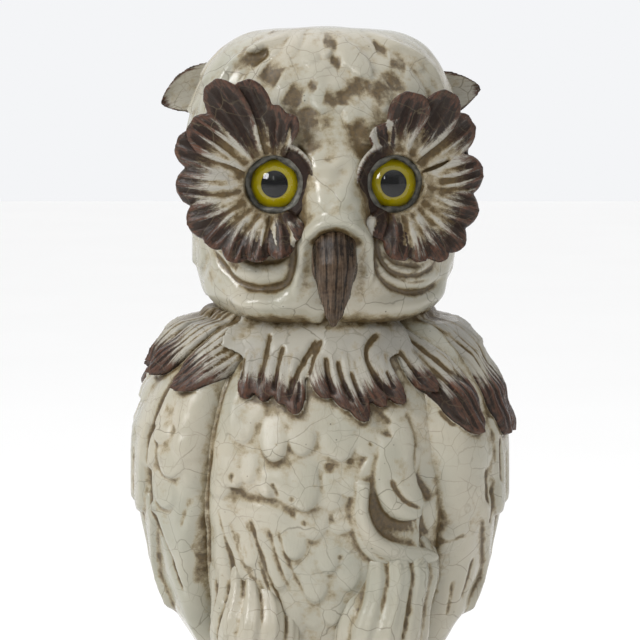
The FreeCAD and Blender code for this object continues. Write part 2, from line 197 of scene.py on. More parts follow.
def smooth_path(path, count=24):
    """A smooth line through a few points."""
    path = np.array(path, float)
    if len(path) == 2:
        path = np.array([path[0], (path[0] + path[1]) / 2, path[1]])
    ends = np.vstack([2 * path[0] - path[1], path, 2 * path[-1] - path[-2]])
    line = []
    for a, b, c, d in zip(ends, ends[1:], ends[2:], ends[3:]):
        for t in np.arange(0, 1, len(path) / count):
            line.append(0.5 * (2 * b + (c - a) * t + (2 * a - 5 * b + 4 * c - d) * t ** 2
                               + (3 * b - 3 * c + d - a) * t ** 3))
    return np.array(line + [path[-1]])


def along_and_beside(u, v, path):
    """For each place: the share of the path's length passed there, and the distance to its side."""
    line = smooth_path(path)
    first, last = line[1] - line[0], line[-1] - line[-2]
    line = np.vstack([line[0] - 40 * first / np.hypot(*first), line, line[-1] + 40 * last / np.hypot(*last)])
    steps = np.hypot(*np.diff(line, axis=0).T)
    passed = np.concatenate([[0], np.cumsum(steps)]) - 40
    nearest = np.full(np.broadcast(u, v).shape, 1e9, np.float32)
    along, beside = np.zeros_like(nearest), np.zeros_like(nearest)
    for i, (a, b) in enumerate(zip(line, line[1:])):
        run = (b - a) / steps[i]
        t = np.clip((u - a[0]) * run[0] + (v - a[1]) * run[1], 0, steps[i])
        du, dv = u - a[0] - t * run[0], v - a[1] - t * run[1]
        away = du ** 2 + dv ** 2
        closer = away < nearest
        nearest = np.where(closer, away, nearest)
        along = np.where(closer, passed[i] + t, along)
        beside = np.where(closer, np.sign(run[0] * dv - run[1] * du) * np.sqrt(away), beside)
    return along / (passed[-1] - 40), beside


def leaf_width(t, root=0.45, widest=0.72, tip=0.5):
    """A feather's width along its length, as a share of its widest.  tip is 0.5 round, 1 pointed."""
    grows = root + (1 - root) * smooth_step(0, widest, t)
    ends = np.clip(1 - (np.clip(t - widest, 0, None) / (1 - widest)) ** 2, 0, 1) ** tip
    return grows * ends


def lumps(shape, cell, seed):
    """Soft random unevenness between -1 and 1 over a sheet, with bumps about cell cells wide."""
    rng = np.random.default_rng(seed)
    coarse = rng.uniform(-1, 1, [int(n / cell) + 3 for n in shape])
    for axis, n in enumerate(shape):
        at = np.arange(n) / cell
        i = at.astype(int)
        f = smooth_step(0, 1, at - i)
        f = f.reshape([-1 if k == axis else 1 for k in range(2)])
        coarse = np.take(coarse, i, axis) * (1 - f) + np.take(coarse, i + 1, axis) * f
    return coarse.astype(np.float32)


class Relief:
    """A sheet of heights over u and v, in mm, with its paint, how stained and shaded each cell is, and the
    run of its feathers.
    """
    def __init__(self, u, v, level):
        self.low = np.array([u[0], v[0]], float)
        size = [int((b - a) / CELL) + 1 for a, b in (u, v)]
        self.h = np.full(size, level, np.float32)
        self.brown, self.stain, self.across, self.along = [np.zeros(size, np.float32) for _ in range(4)]
        self.count = 0

    def near(self, path, margin):
        path = np.array(path, float)
        first = np.clip(((path.min(0) - margin - self.low) / CELL).astype(int), 0, self.h.shape)
        last = np.clip(((path.max(0) + margin - self.low) / CELL).astype(int) + 1, 0, self.h.shape)
        u = (self.low[0] + CELL * np.arange(first[0], last[0]))[:, None]
        v = (self.low[1] + CELL * np.arange(first[1], last[1]))[None, :]
        return (slice(first[0], last[0]), slice(first[1], last[1])), u, v

    def feather(self, path, width, thick, floor=0.0, sunk=0.3, cup=0.0, barbs=0.0, gap=2.6,
                brown=None, root=0.45, widest=0.72, lean=0.0):
        """Lays a feather on the sheet, over what is there."""
        part, u, v = self.near(path, width + 3)
        if 0 in self.h[part].shape:
            return
        t, s = along_and_beside(u, v, path)
        q = s / np.maximum(width * leaf_width(t, root, widest), 1e-3)
        inside = (np.abs(q) < 1) & (t > 0) & (t < 1)
        crown = np.sqrt(np.clip(1 - q ** 2, 0, 1))
        rises = sunk + (1 - sunk) * np.clip(t, 0, 1)
        h = floor + thick * rises * crown ** 0.6 - cup * (1 - q ** 2) + lean * s
        h = h + barbs * np.cos(2 * np.pi * s / gap) * smooth_step(0, 0.3, t) * crown
        wins = inside & (h > self.h[part])
        self.h[part] = np.where(wins, h, self.h[part])
        tint = smooth_step(brown[0], brown[1], t) if brown else 0.0
        self.brown[part] = np.where(wins, tint, self.brown[part])
        # The creases between the ribs are darkened: umber and painted shade.
        creases = np.clip(-np.cos(2 * np.pi * s / gap), 0, 1) * smooth_step(0.15, 0.5, t)
        self.stain[part] = np.where(wins, 0.75 * min(barbs, 1) * creases, self.stain[part])
        self.count += 1
        self.across[part] = np.where(wins, s + 37 * self.count, self.across[part])
        self.along[part] = np.where(wins, 40 * t, self.along[part])

    def groove(self, path, width, depth, stain=0.8):
        """Draws a groove, or with a negative depth a ridge, that fades at both ends."""
        part, u, v = self.near(path, 3 * width)
        if 0 in self.h[part].shape:
            return
        t, s = along_and_beside(u, v, path)
        mark = np.exp(-(s / width) ** 2) * smooth_step(-0.05, 0.15, t) * smooth_step(1.05, 0.85, t)
        self.h[part] -= depth * mark
        # A groove darkens the glaze along it by the given amount: umber and painted shade.
        self.stain[part] = np.maximum(self.stain[part], stain * mark)

    def swell(self, place, size, height):
        """Adds a soft rounded bump."""
        part, u, v = self.near([place], 2.2 * max(size))
        self.h[part] += height * np.exp(-((u - place[0]) / size[0]) ** 2 - ((v - place[1]) / size[1]) ** 2)

    def read(self, values, u, v):
        """A sheet's values at places on it, mixed between the four nearest cells."""
        a = np.clip((u - self.low[0]) / CELL, 0, values.shape[0] - 1.001)
        b = np.clip((v - self.low[1]) / CELL, 0, values.shape[1] - 1.001)
        i, j = a.astype(int), b.astype(int)
        f, g = a - i, b - j
        return ((values[i, j] * (1 - g) + values[i, j + 1] * g) * (1 - f)
                + (values[i + 1, j] * (1 - g) + values[i + 1, j + 1] * g) * f)

    def marks(self, u, v):
        named = {"brown": self.brown, "across": self.across, "along": self.along}
        return {name: self.read(values, u, v) for name, values in named.items()}


# %% [markdown]
# ## Round forms
# The torso, head and stump are lofts: rows of rounded outlines stacked up. A row gives a share of the height
# and the half width, the front and the back there. The same rows drive the CAD model, so the clay fits it.

# %% The round form helper
ROUNDNESS = 2.3


class Form:
    """A stack of rounded outlines.  Sizes are the widest half width, front and back, in mm."""
    def __init__(self, bottom, top, sizes, rows):
        fine = np.linspace(0, 1, 401)
        table = np.array(rows, float)
        mean = np.hanning(27) / np.hanning(27).sum()
        self.z = bottom + fine * (top - bottom)
        self.shape = []
        for column, size in enumerate(sizes, 1):
            line = np.pad(np.interp(fine, table[:, 0], table[:, column]), 13, mode="reflect",
                          reflect_type="odd")
            self.shape.append(size * np.convolve(line, mean, mode="valid"))

    def reach(self, z):
        return [np.interp(z, self.z, line) for line in self.shape]

    def level(self, x, y, z):
        """1 on the surface, less inside and more outside."""
        half, front, back = [r.astype(np.float32) for r in self.reach(z)]
        deep = np.where(y < 0, front, back)
        return ((np.abs(x) / half) ** ROUNDNESS + (np.abs(y) / deep) ** ROUNDNESS) ** (1 / ROUNDNESS)

    def front(self, x, z):
        """How far forward the surface is at a height, as seen from the front."""
        half, front, _ = self.reach(z)
        return front * np.clip(1 - np.clip(np.abs(x) / half, 0, 0.999) ** ROUNDNESS, 0, 1) ** (1 / ROUNDNESS)


def read_mm(node):
    low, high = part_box(node)
    return np.array(low) / MM, np.array(high) / MM


torso_low, torso_high = read_mm("torso_shell")
NECK, STUMP_TOP = torso_high[2], torso_low[2]
TORSO_ROWS = [(0.00, 0.60, 0.65, 0.76), (0.13, 0.63, 0.69, 0.80), (0.28, 0.76, 0.83, 0.87),
              (0.42, 0.89, 0.93, 0.94), (0.57, 0.98, 1.00, 0.98), (0.71, 1.00, 0.99, 1.00),
              (0.82, 0.94, 0.93, 0.97), (0.91, 0.83, 0.83, 0.91), (0.97, 0.71, 0.73, 0.83),
              (1.00, 0.63, 0.65, 0.76)]
torso = Form(STUMP_TOP, NECK, (torso_high[0], -torso_low[1], torso_high[1]), TORSO_ROWS)
print("neck at", NECK, "stump top at", STUMP_TOP, "torso half sizes", torso_high[0], -torso_low[1],
      torso_high[1])

# %% [markdown]
# ## The sheets of relief on the body
# Real feathers lie in layers, and the modeller pressed them on in that order: breast, wings, shoulder
# feathers, collar. Each layer is a sheet of its own that lies on a smoothed copy of what is under it. At the
# end a sheet is blurred a little, because a thick glaze rounds every edge.

# %% Sheets round the body
ROUND = 80.0                  # u is this many mm for each radian round the bird
HALF_WAY = math.pi * ROUND    # u straight behind
SHEET_U, SHEET_V = (-HALF_WAY, HALF_WAY), (STUMP_TOP - 6, NECK + 12)
rng = np.random.default_rng(11)


def on_breast(*places):
    """Places seen from the front, as (across, height), turned into places on a sheet."""
    return [(ROUND * math.atan2(x, float(torso.front(x, z))), z) for x, z in places]


breast = Relief(SHEET_U, SHEET_V, 0.0)
breast.h += 0.8 * lumps(breast.h.shape, 26 / CELL, 1) + 0.35 * lumps(breast.h.shape, 9 / CELL, 2)
sheet_u = (breast.low[0] + CELL * np.arange(breast.h.shape[0]))[:, None]
sheet_v = (breast.low[1] + CELL * np.arange(breast.h.shape[1]))[None, :]

# %% [markdown]
# ### Breast
# The breast has rows of round-ended feathers. Most are so soft under the glaze that they only catch the
# light, and a few stand out like pebbles along a ledge. Long furrows run down the flank to the leg.

# %% Breast feathers
for row, height in enumerate(range(104, 250, 17)):
    for n in range(-4, 5):
        x = 16 * n + 8 * (row % 2) + rng.uniform(-4, 4)
        if abs(x) < 58 and rng.random() < 0.62:
            breast.feather(on_breast((0.94 * x, height + 18), (x, height + rng.uniform(-3, 3))),
                           rng.uniform(6.5, 9), rng.choice([0.8, 1.1, 1.6]), root=0.75, widest=0.55,
                           sunk=0.0)
print("soft breast feathers:", breast.count)

# %% Ledge, strong feathers and furrows
ledge = [(-44, 213), (-34, 208), (-20, 206), (-8, 200), (4, 199), (14, 203), (22, 212)]
breast.groove(on_breast(*[(x, z + 7) for x, z in ledge]), 7.0, -2.2, stain=0)
breast.groove(on_breast(*[(x, z - 2.5) for x, z in ledge]), 3.2, 1.6, stain=0.15)
strong = [(-21, 224, 7.6, 3.8), (-24.5, 206.5, 5.6, 4.8), (-40, 210, 5.6, 4.2), (-7, 200.5, 8.6, 5.6),
          (7, 205, 6.0, 3.4), (-33, 213, 5.0, 3.6), (-12, 176, 7.5, 2.8), (4, 169, 7.0, 2.6),
          (-8, 227, 8.0, 2.8), (-2, 154, 8.0, 2.8), (14, 160, 7.0, 2.2), (-3, 186, 9.0, 1.8),
          (10, 224, 9.0, 2.2), (22, 226, 7.0, 2.0), (-36, 232, 7.0, 2.0), (13, 190, 7.5, 1.8),
          (-20, 160, 7.0, 2.0), (-14, 140, 8.0, 2.2), (6, 142, 8.0, 2.0)]
for x, z, width, thick in strong:
    breast.feather(on_breast((x - 1, z + 2.7 * width), (x, z)), width, thick, root=0.8, widest=0.5, sunk=0.0)
breast.feather(on_breast((37, 247), (39.5, 224)), 6.8, 5.4, root=0.6, widest=0.55, sunk=0.0)
furrows = [([(-34, 196), (-30, 182), (-24, 165), (-17, 148)], 1.5, 2.2),
           ([(-45, 184), (-42, 168), (-37, 150), (-31, 134)], 1.6, 2.2),
           ([(-41, 218), (-40.5, 209)], 2.0, 1.6), ([(-22.5, 214), (-19.5, 207)], 1.8, 1.4),
           ([(-29, 172), (-22, 152), (-14, 134)], 1.4, 1.5),
           ([(-48, 200), (-44, 180), (-40, 166)], 1.2, 1.0),
           ([(-30, 152), (-25, 136), (-18, 122)], 1.7, 2.0),
           ([(-20, 190), (-14, 172), (-7, 158)], 1.1, 0.6), ([(-47, 160), (-42, 142)], 1.4, 1.4)]
for path, width, depth in furrows:
    breast.groove(on_breast(*path), 0.8 * width, 0.8 * depth, stain=0.6)
for n in range(16):
    x, z = rng.uniform(-47, -22), rng.uniform(150, 196)
    breast.groove(on_breast((x, z), (x + 4, z - 15), (x + 10, z - 30)), rng.uniform(0.7, 1.1),
                  rng.uniform(0.3, 0.8), stain=0.5)
for x, z, size in [(4.3, 220.5, 3.2), (-2.3, 212.5, 1.4), (14, 224, 1.6), (27, 214, 2.0), (-13, 206, 2.2),
                   (30, 233, 1.6), (-8, 194, 2.2), (23, 232, 1.3), (9, 177, 2.0), (-20, 232, 1.2)]:
    breast.groove(on_breast((x, z + 0.8 * size), (x + 0.4, z - 0.8 * size)), 0.8 * size, 0.5, stain=0.85)
print("breast feathers:", breast.count)

# %% Curled feathers over the thigh
# Two big curled feathers lie over the top of the left thigh, with a stained hollow between them.
breast.feather(on_breast((38, 232), (30, 202), (41, 174)), 18.5, 7.5, root=0.7, widest=0.62, sunk=0.5,
               cup=4.2)
breast.feather(on_breast((20, 214), (19.5, 198), (26, 184), (40, 176.5), (53, 174)), 5.4, 8.2, root=0.6,
               widest=0.8, sunk=0.75)
for n in range(9):
    x = 27 + 2.6 * n
    breast.groove(on_breast((x, 204 - 0.9 * n), (x + 4, 190 - 0.6 * n)), 1.0, 1.2, stain=0.75)
breast.groove(on_breast((24, 207), (30, 193), (44, 188), (53, 190)), 5.5, 1.2, stain=0.5)
breast.feather(on_breast((36, 234), (35, 214), (43, 195.5)), 11.5, 10.0, root=0.8, widest=0.6, sunk=0.4,
               cup=1.2)
breast.groove(on_breast((31, 216), (37, 205), (46, 199.5)), 1.3, 1.8, stain=0.7)
breast.groove(on_breast((44, 214), (50, 209), (53, 202)), 2.8, 2.0, stain=0.8)
print("with the curled ones:", breast.count)

# %% Feathers on the back
# Behind, rows of the same feathers cover the back.
for row, height in enumerate(range(120, 282, 15)):
    for n in range(-3, 4):
        middle = 16 * n + 8 * (row % 2) + rng.uniform(-2.5, 2.5)
        for turn in (-1, 1):
            u = middle + turn * HALF_WAY
            breast.feather([(u, height + 18), (u, height + rng.uniform(-2, 2))], 9.5,
                           1.8 + rng.uniform(0, 1.2), root=0.7, widest=0.55, sunk=0.05, barbs=0.2, gap=4)
print("with the back:", breast.count)

# %% [markdown]
# ### Wings
# A wing is a rounded shell that stands out from the side. Small round feathers cover its shoulder, and long
# flight feathers run down and back, each lying over the next.

# %% Wing shape and feathers
WING_SHARES = [0.05, 0.42, 0.90, 0.85, 0.93, 0.93, 0.85, 0.64, 0.55, 0.45]
WING_STANDS = read_mm("left_wing")[1][0] - torso_high[0]
side_share = np.sin(sheet_u / ROUND) ** 2
end_share = np.where(np.abs(sheet_u) < HALF_WAY / 2, 0.2, 0.55)
stands = np.interp((sheet_v - STUMP_TOP) / (NECK - STUMP_TOP), [r[0] for r in TORSO_ROWS], WING_SHARES)
stands = WING_STANDS * stands * (side_share + end_share * (1 - side_share))
right_marks = [(-66.6, 222, 7.5, 3.4), (-81, 229, 5.6, 2.8), (-75, 213, 8.6, 3.8), (-63, 207, 6.5, 2.0),
               (-70, 236, 7.0, 1.8), (-60, 240, 6.0, 1.2), (-80, 197, 7.0, 2.2), (-92, 215, 7.5, 2.6),
               (-92, 236, 7.5, 2.0)]
left_marks = [(72, 181, 9.0, 3.0), (72, 174, 10.0, 2.0), (84, 203, 8.0, 1.2), (70, 206, 7.0, 1.1),
              (92, 190, 7.5, 1.8), (88, 222, 8.5, 1.0), (70, 226, 8.0, 0.9), (66, 192, 6.0, 1.0)]


def wing_sheet(side, front_edge, scallops):
    """One wing's relief.  front_edge is its front line seen from the front; side is -1 or 1."""
    wing = Relief(SHEET_U, SHEET_V, 0.0)
    wing.h += 0.9 * lumps(wing.h.shape, 24 / CELL, 5 + side) + 0.35 * lumps(wing.h.shape, 8 / CELL, 7 + side)
    # Flight feathers, laid from the lowest up, each over the one behind it.
    for n in range(9):
        start = (side * (202 - 13.5 * n), 226 - 3 * n)
        bend = (side * (212 - 11.5 * n), 182 - 3 * n)
        tip = (side * (224 - 14.8 * n), 108 + 4.5 * n + rng.uniform(-4, 4))
        wing.feather([start, bend, tip], 11.0, 4.2, root=0.8, widest=0.8, sunk=0.4, cup=0.6, barbs=0.3,
                     gap=4.2, lean=-0.16 * side)
    for n in range(7):
        start = (side * (190 - 15 * n), 250 - 1.5 * n)
        tip = (side * (202 - 16 * n), 178 + 2.5 * n + rng.uniform(-4, 4))
        wing.feather([start, ((start[0] + tip[0]) / 2 + 3 * side, 214), tip], 10.5, 4.8, root=0.75,
                     widest=0.75, sunk=0.4, cup=0.6, barbs=0.3, gap=4.0, lean=-0.14 * side)
    # Coverts on the side, in rows of round ends.
    for row, height in enumerate([206, 219, 232, 245, 258, 271]):
        for n in range(9):
            u = side * (101 + 15 * n + 7.5 * (row % 2) + rng.uniform(-3, 3))
            wing.feather([(u - 2 * side, height + 20), (u, height - 0.04 * abs(u) + rng.uniform(-3, 3) + 6)],
                         rng.uniform(7, 9), rng.uniform(2.2, 4.6), root=0.7, widest=0.55, sunk=0.05)
    for u, v, width, thick in scallops:
        wing.feather([(u, v + 2.6 * width), (u, v)], width, thick, root=0.75, widest=0.5, sunk=0.0)
    if side < 0:
        strokes = [((-67, 205), (-75, 187)), ((-65, 197), (-75, 174)), ((-60, 158), (-65, 148)),
                   ((-72, 176), (-78, 158)), ((-58, 150), (-62, 139)), ((-68, 186), (-74, 172)),
                   ((-63, 178), (-69, 162))]
        # A deep furrow parts the front of the wing from a second layer behind it.
        wing.groove([(-86, 262), (-91, 238), (-92, 215), (-91, 192), (-88, 168), (-84, 150)], 1.6, 4.0,
                    stain=0.7)
        wing.groove([(-84, 240), (-88, 222), (-88, 196), (-85, 172)], 4.5, -1.6, stain=0)
    else:
        strokes = [((88, 216), (91, 196)), ((94, 206), (96, 186)), ((84, 160), (88, 140)),
                   ((66, 246), (70, 238)), ((92, 170), (93, 148)), ((76, 160), (77, 140)),
                   ((64, 168), (62, 148)), ((98, 230), (99, 206))]
        wing.groove([(60, 188), (66, 182.5), (74, 181), (82, 184)], 1.9, 1.6, stain=0.9)
    for a, b in strokes:
        wing.groove([a, b], 1.3, 1.8, stain=0.6)
    edge_v = [z for _, z in front_edge]
    edge = np.interp(sheet_v, edge_v[::-1], [u for u, _ in on_breast(*front_edge)][::-1])
    from_front = side * (sheet_u - edge)
    from_back = 236 - 0.55 * np.clip(140 - sheet_v, 0, None) - side * sheet_u
    # The tips end in a sloping, scalloped line, higher in front than behind.
    tips = 128 - 0.17 * side * sheet_u + 5 * np.abs(np.sin(side * sheet_u / 9.5))
    inner = np.minimum(np.minimum(from_front / (1 if side < 0 else 2.2), from_back), sheet_v - tips)
    roll = np.sqrt(np.clip(1 - (1 - np.clip(inner / 9, 0, 1)) ** 2, 0, 1))
    wing.h = blur(np.where(inner > 0, -6 + (stands + 1.0 + wing.h + 6) * roll, -6), 1)
    return wing

# %% The two wings
right_edge = [(-29.5, 289), (-37.8, 274), (-46.4, 256), (-51.6, 236), (-54, 215), (-55, 199), (-55, 184),
              (-54, 160), (-49, 130), (-42, 98)]
left_edge = [(38, 289), (47, 262), (50, 240), (52, 222), (54, 212), (56, 201), (58, 190), (55.5, 181),
             (54.5, 159), (48, 130), (41, 98)]
wings = {"right": wing_sheet(-1, right_edge, right_marks), "left": wing_sheet(1, left_edge, left_marks)}
# The breast swells beside the right wing, so the line between them is a deep roll.
breast.groove(on_breast(*[(x + 8, z) for x, z in right_edge[:-1]]), 6.5, -2.2, stain=0.0)
breast.groove(on_breast(*[(x + 0.6, z) for x, z in right_edge[:-1]]), 1.2, 1.8, stain=0.5)
# Below the wings, rows of small feathers run round to the back.
for row, height in enumerate((92, 104, 116, 128)):
    for n in range(-17, 18):
        u = 13 * n + 6.5 * (row % 2)
        if abs(u) > 60:
            breast.feather([(u, height + 16), (u, height + rng.uniform(-2, 2))], 8.0,
                           rng.uniform(1.8, 2.8), root=0.7, widest=0.55, sunk=0.05)
breast.h = blur(breast.h, 1)
print("wing feathers:", {name: wing.count for name, wing in wings.items()})

# %% [markdown]
# ### Shoulders and collar
# The shoulder feathers fan out from the neck over the wings, with fine ribs. The collar's feathers are round
# strands that run together at the top, with deep furrows between them. All of them end in brushed-on brown.

# %% Shoulder and collar feathers
def ground_under(*sheets):
    return blur(np.maximum.reduce([s.h for s in sheets]), 6)


def settle(sheet, ground):
    """Lays a sheet's feathers on the ground; where it has none, it drops below the clay."""
    sheet.h = blur(np.where(sheet.h > -20, sheet.h + ground, -8.0), 1)


ground = ground_under(breast, *wings.values())
mantles = {name: Relief(SHEET_U, SHEET_V, -50.0) for name in wings}
rib = dict(barbs=0.9, gap=3.7, brown=(0.4, 0.92), root=0.6, sunk=0.3)
behind = [(252, 240, 13), (222, 236, 13), (196, 232, 12), (172, 236, 12), (150, 230, 12)]
for u, tip, width in behind:
    for side, name in ((1, "left"), (-1, "right")):
        lift = 0 if side > 0 else 18
        mantles[name].feather([(side * 0.86 * u, 296), (side * (0.94 * u), 268), (side * u, tip + lift)],
                              width + 1, 4.6, widest=0.7, lean=0.06 * side, **rib)
left_fan = [((112, 297), (128, 262), (131, 226), 10.5), ((98, 297), (113, 262), (118, 232), 10.0),
            ((84, 297), (99, 265), (104, 229), 9.5), ((58, 294), (70, 266), (82, 233), 11.5)]
for root, bend, tip, width in left_fan:
    mantles["left"].feather([root, bend, tip], width, 4.4, widest=0.6,
                            **(rib | {"gap": 4.6, "brown": (0.42, 0.75)}))
for path, width, depth in [([(63, 288), (70, 272), (80, 257)], 1.6, 1.6),
                           ([(74, 288), (84, 272), (92, 256)], 1.6, 1.6),
                           ([(84, 286), (94, 270)], 1.3, 1.2),
                           ([(62, 262), (68, 246), (78, 236)], 1.4, 1.2)]:
    mantles["left"].groove(path, width, depth, stain=0.9)
right_fan = [((-118, 297), (-130, 278), (-132, 260), 10.0), ((-98, 299), (-112, 285), (-120, 263), 11.5),
             ((-66, 297), (-84, 284), (-104, 260), 11.0), ((-40, 294), (-56, 280), (-79, 255.5), 12.0)]
for root, bend, tip, width in right_fan:
    mantles["right"].feather([root, bend, tip], width, 5.0, widest=0.6, **(rib | {"barbs": 1.0}))
mantles["right"].groove([(-38, 290), (-50, 274), (-66, 258)], 1.6, -1.6, stain=0)
for mantle in mantles.values():
    settle(mantle, ground)
print("shoulder feathers:", {name: mantle.count for name, mantle in mantles.items()})

# %% Collar
ground = ground_under(breast, *wings.values(), *mantles.values())
bib = Relief(SHEET_U, SHEET_V, -50.0)
base = 1.6 + 2.2 * smooth_step(262, 280, sheet_v + 0 * sheet_u)
bib.h[:] = np.where((np.abs(sheet_u) < 60) & (sheet_v > 262 + 0.004 * sheet_u ** 2), base, -50)
collar = [([(-27, 292), (-31, 272), (-34, 252)], 6.2), ([(36, 292), (40, 273), (51, 254)], 6.4),
          ([(-14, 292), (-18, 268), (-18, 250)], 6.0), ([(20, 292), (20, 270), (30, 248.5)], 6.4),
          ([(-21, 292), (-25, 270), (-25.8, 251)], 6.6), ([(28, 292), (28, 271), (38.5, 249.5)], 7.0),
          ([(6, 292), (6, 268), (13, 248)], 6.4), ([(0, 292), (-2, 270), (4.2, 253)], 6.6),
          ([(-8, 292), (-12, 268), (-11, 245.5)], 7.4), ([(12, 292), (11.5, 268), (22, 242)], 7.4)]
for path, width in collar:
    bib.feather(on_breast(*path), width, 4.8, brown=(0.5, 0.92), root=0.85, widest=0.72, sunk=0.5,
                barbs=0.4, gap=4.6)
bib_furrows = [([(-21.9, 283), (-24.6, 272), (-26.8, 260)], 1.3),
               ([(-16.5, 278), (-19.2, 266.6), (-21, 257)], 1.3),
               ([(-0.8, 281), (-7.5, 270.2), (-12, 261.2), (-14.2, 253)], 2.1),
               ([(1, 281), (-3, 271), (-5.2, 263)], 1.5), ([(2.6, 273), (3.7, 264), (6.5, 255)], 1.6),
               ([(7.8, 271), (10.5, 261.2), (15, 252.3)], 1.4),
               ([(27, 283), (22.2, 278), (21.5, 271), (26.7, 261.2), (35, 252.3)], 1.9),
               ([(36, 275), (42.9, 264.8), (47, 258.5)], 1.3),
               ([(41.5, 275), (48.3, 266), (53, 259.5)], 1.8), ([(44.7, 283.6), (48.3, 278)], 1.6),
               ([(-33.6, 272), (-35.2, 261)], 1.2), ([(-9, 262), (-10, 251)], 1.0),
               ([(14, 266), (20, 250)], 1.1), ([(30, 266), (34, 257)], 1.0)]
for path, width in bib_furrows:
    bib.groove(on_breast(*path), 0.9 * width, 2.6, stain=0.85)
settle(bib, ground)
print("collar feathers:", bib.count)

# %% Umber and painted shade in the hollows
layers = [breast, *wings.values(), *mantles.values(), bib]
highest = np.maximum.reduce([s.h for s in layers])
# Darker where a place sits below its blurred surroundings: umber wiped into the hollows, and painted shade
# in them.
hollow = np.minimum(0.7 * (blur(highest, 3) - highest) + 0.4 * (blur(highest, 9) - highest), 0.85)
# Above the curled feathers the left wing flows into the breast, and neither umber nor painted shade stays on
# that line.
line = np.interp(sheet_v, [z for _, z in left_edge][::-1], [u for u, _ in on_breast(*left_edge)][::-1])
hollow = hollow * (1 - 0.8 * np.exp(-((sheet_u - line) / 5) ** 2)
                   * smooth_step(200, 222, sheet_v + 0 * sheet_u))
line = np.interp(sheet_v, [z for _, z in right_edge][::-1], [u for u, _ in on_breast(*right_edge)][::-1])
hollow = hollow * (1 - 0.5 * np.exp(-((sheet_u - line) / 5) ** 2))
print("relief runs from", round(float(highest.min()), 1), "to", round(float(highest.max()), 1), "mm")

# %% [markdown]
# ### From sheets to clay
# One block of voxels holds the distance to the bare body. A piece's surface is where that distance equals
# the height on its sheet, so each piece is cut from the block with one subtraction.

# %% Body pieces
SIDEWAYS, FORWARD, BACKWARD = 104, -88, 92    # how far the block of clay goes
body = Clay((-SIDEWAYS, FORWARD, STUMP_TOP - 4), (SIDEWAYS, BACKWARD, NECK + 12), BROAD)
_, bx, by, bz = body.whole()
bare = true_distance(torso.level(bx, by, bz) - 1, BROAD)


def body_piece(name, sheet, sunk, low=(-SIDEWAYS, FORWARD, 0), high=(SIDEWAYS, BACKWARD, 400)):
    """Cuts one layer's clay out of the body, from sunk mm under the bare surface to its relief."""
    body_high = body.low + BROAD * (np.array(body.d.shape) - 1)
    piece = Clay(np.maximum(low, body.low), np.minimum(high, body_high), BROAD)
    part, x, y, z = body.near(piece.low, piece.low + BROAD * (np.array(piece.d.shape) - 1))
    piece.low = np.array([x.flat[0], y.flat[0], z.flat[0]], float)
    top = bare[part] - sheet.read(sheet.h, ROUND * np.arctan2(x, -y), z)
    # The shoulders round off under the head.
    under_head = z - NECK - np.clip(14 - 0.55 * (np.hypot(x, 1.1 * y) - 48), -30, 5)
    top = carve(top, -under_head, 5.0)
    piece.d = np.maximum(top, -(bare[part] + sunk)) if sunk else top
    piece.d = np.maximum(piece.d, STUMP_TOP - z).astype(np.float32)
    points, quads = piece.surface()
    u, v = ROUND * np.arctan2(points[:, 0], -points[:, 1]), points[:, 2]
    # Umber and painted shade in the hollows, and a band of painted shade at the neck, where the body goes
    # under the head.
    stain = 0.9 * sheet.read(sheet.stain, u, v) + sheet.read(hollow, u, v)
    stain = stain + 0.9 * smooth_step(NECK - 4, NECK + 3, v)
    return make_piece(name, points, quads, sheet.marks(u, v) | {"stain": stain})

# %% Cut the layers apart
pieces = {"torso_shell": body_piece("torso", breast, 0)}
for name, low_x, high_x in (("left", 0, SIDEWAYS), ("right", -SIDEWAYS, 0)):
    corners = ((low_x, FORWARD, 84), (high_x, BACKWARD, NECK + 12))
    pieces[name + "_wing"] = body_piece(name + "_wing_feathers", wings[name], 1.5, *corners)
    pieces[name + "_mantle_feathers"] = body_piece(name + "_mantle", mantles[name], 1.0,
                                                   (low_x, FORWARD, 215), corners[1])
pieces["bib_feathers"] = body_piece("bib", bib, 1.0, (-70, FORWARD, 230), (70, 0, NECK + 12))

# %% [markdown]
# ## The head
# The head was cast on its own and turned a little to one side, so it is shaped facing straight ahead and
# turned at the end. The nose, the folds of the cheeks and the two plump jowls are swellings and furrows on a
# sheet, as on the body.

# %% Head form and where it sits
SIDES = (("right", -1), ("left", 1))    # the bird's own sides, and the sign of x there
# Stands a flat piece up, so that its y points up.
STAND_UP = np.array([[1, 0, 0], [0, 0, -1], [0, 1, 0]], float)
HEAD_TURN, EYE_SPLAY = math.radians(5), math.radians(14)
HEAD_AT = np.array([2.0, -3.0, 0.0])
head_top = read_mm("head_shell")[1][2]
HEAD_SIZES = (67.0, 62.0, 58.0)
HEAD_ROWS = [(0.00, 0.69, 0.71, 0.69), (0.03, 0.79, 0.84, 0.79), (0.09, 0.88, 0.93, 0.88),
             (0.17, 0.94, 0.98, 0.93), (0.28, 0.97, 1.00, 0.97), (0.42, 0.99, 1.00, 1.00),
             (0.58, 1.00, 0.98, 1.00), (0.70, 0.98, 0.93, 0.98), (0.80, 0.92, 0.84, 0.91),
             (0.87, 0.85, 0.75, 0.82), (0.93, 0.75, 0.65, 0.71), (1.00, 0.60, 0.52, 0.56)]
head_form = Form(NECK, head_top, HEAD_SIZES, HEAD_ROWS)
HEAD_ROUND = 66.0


def turn_about_z(angle):
    c, s = math.cos(angle), math.sin(angle)
    return np.array([[c, -s, 0], [s, c, 0], [0, 0, 1]])


def head_to_row(points):
    return points @ turn_about_z(HEAD_TURN).T + HEAD_AT


def row_to_head(points):
    return (points - HEAD_AT) @ turn_about_z(HEAD_TURN)


def on_face(*places):
    """Places seen from in front, as (across, above the neck), turned into places on the head's sheet."""
    return [(HEAD_ROUND * math.atan2(x, float(head_form.front(x, NECK + up))), NECK + up)
            for x, up in places]


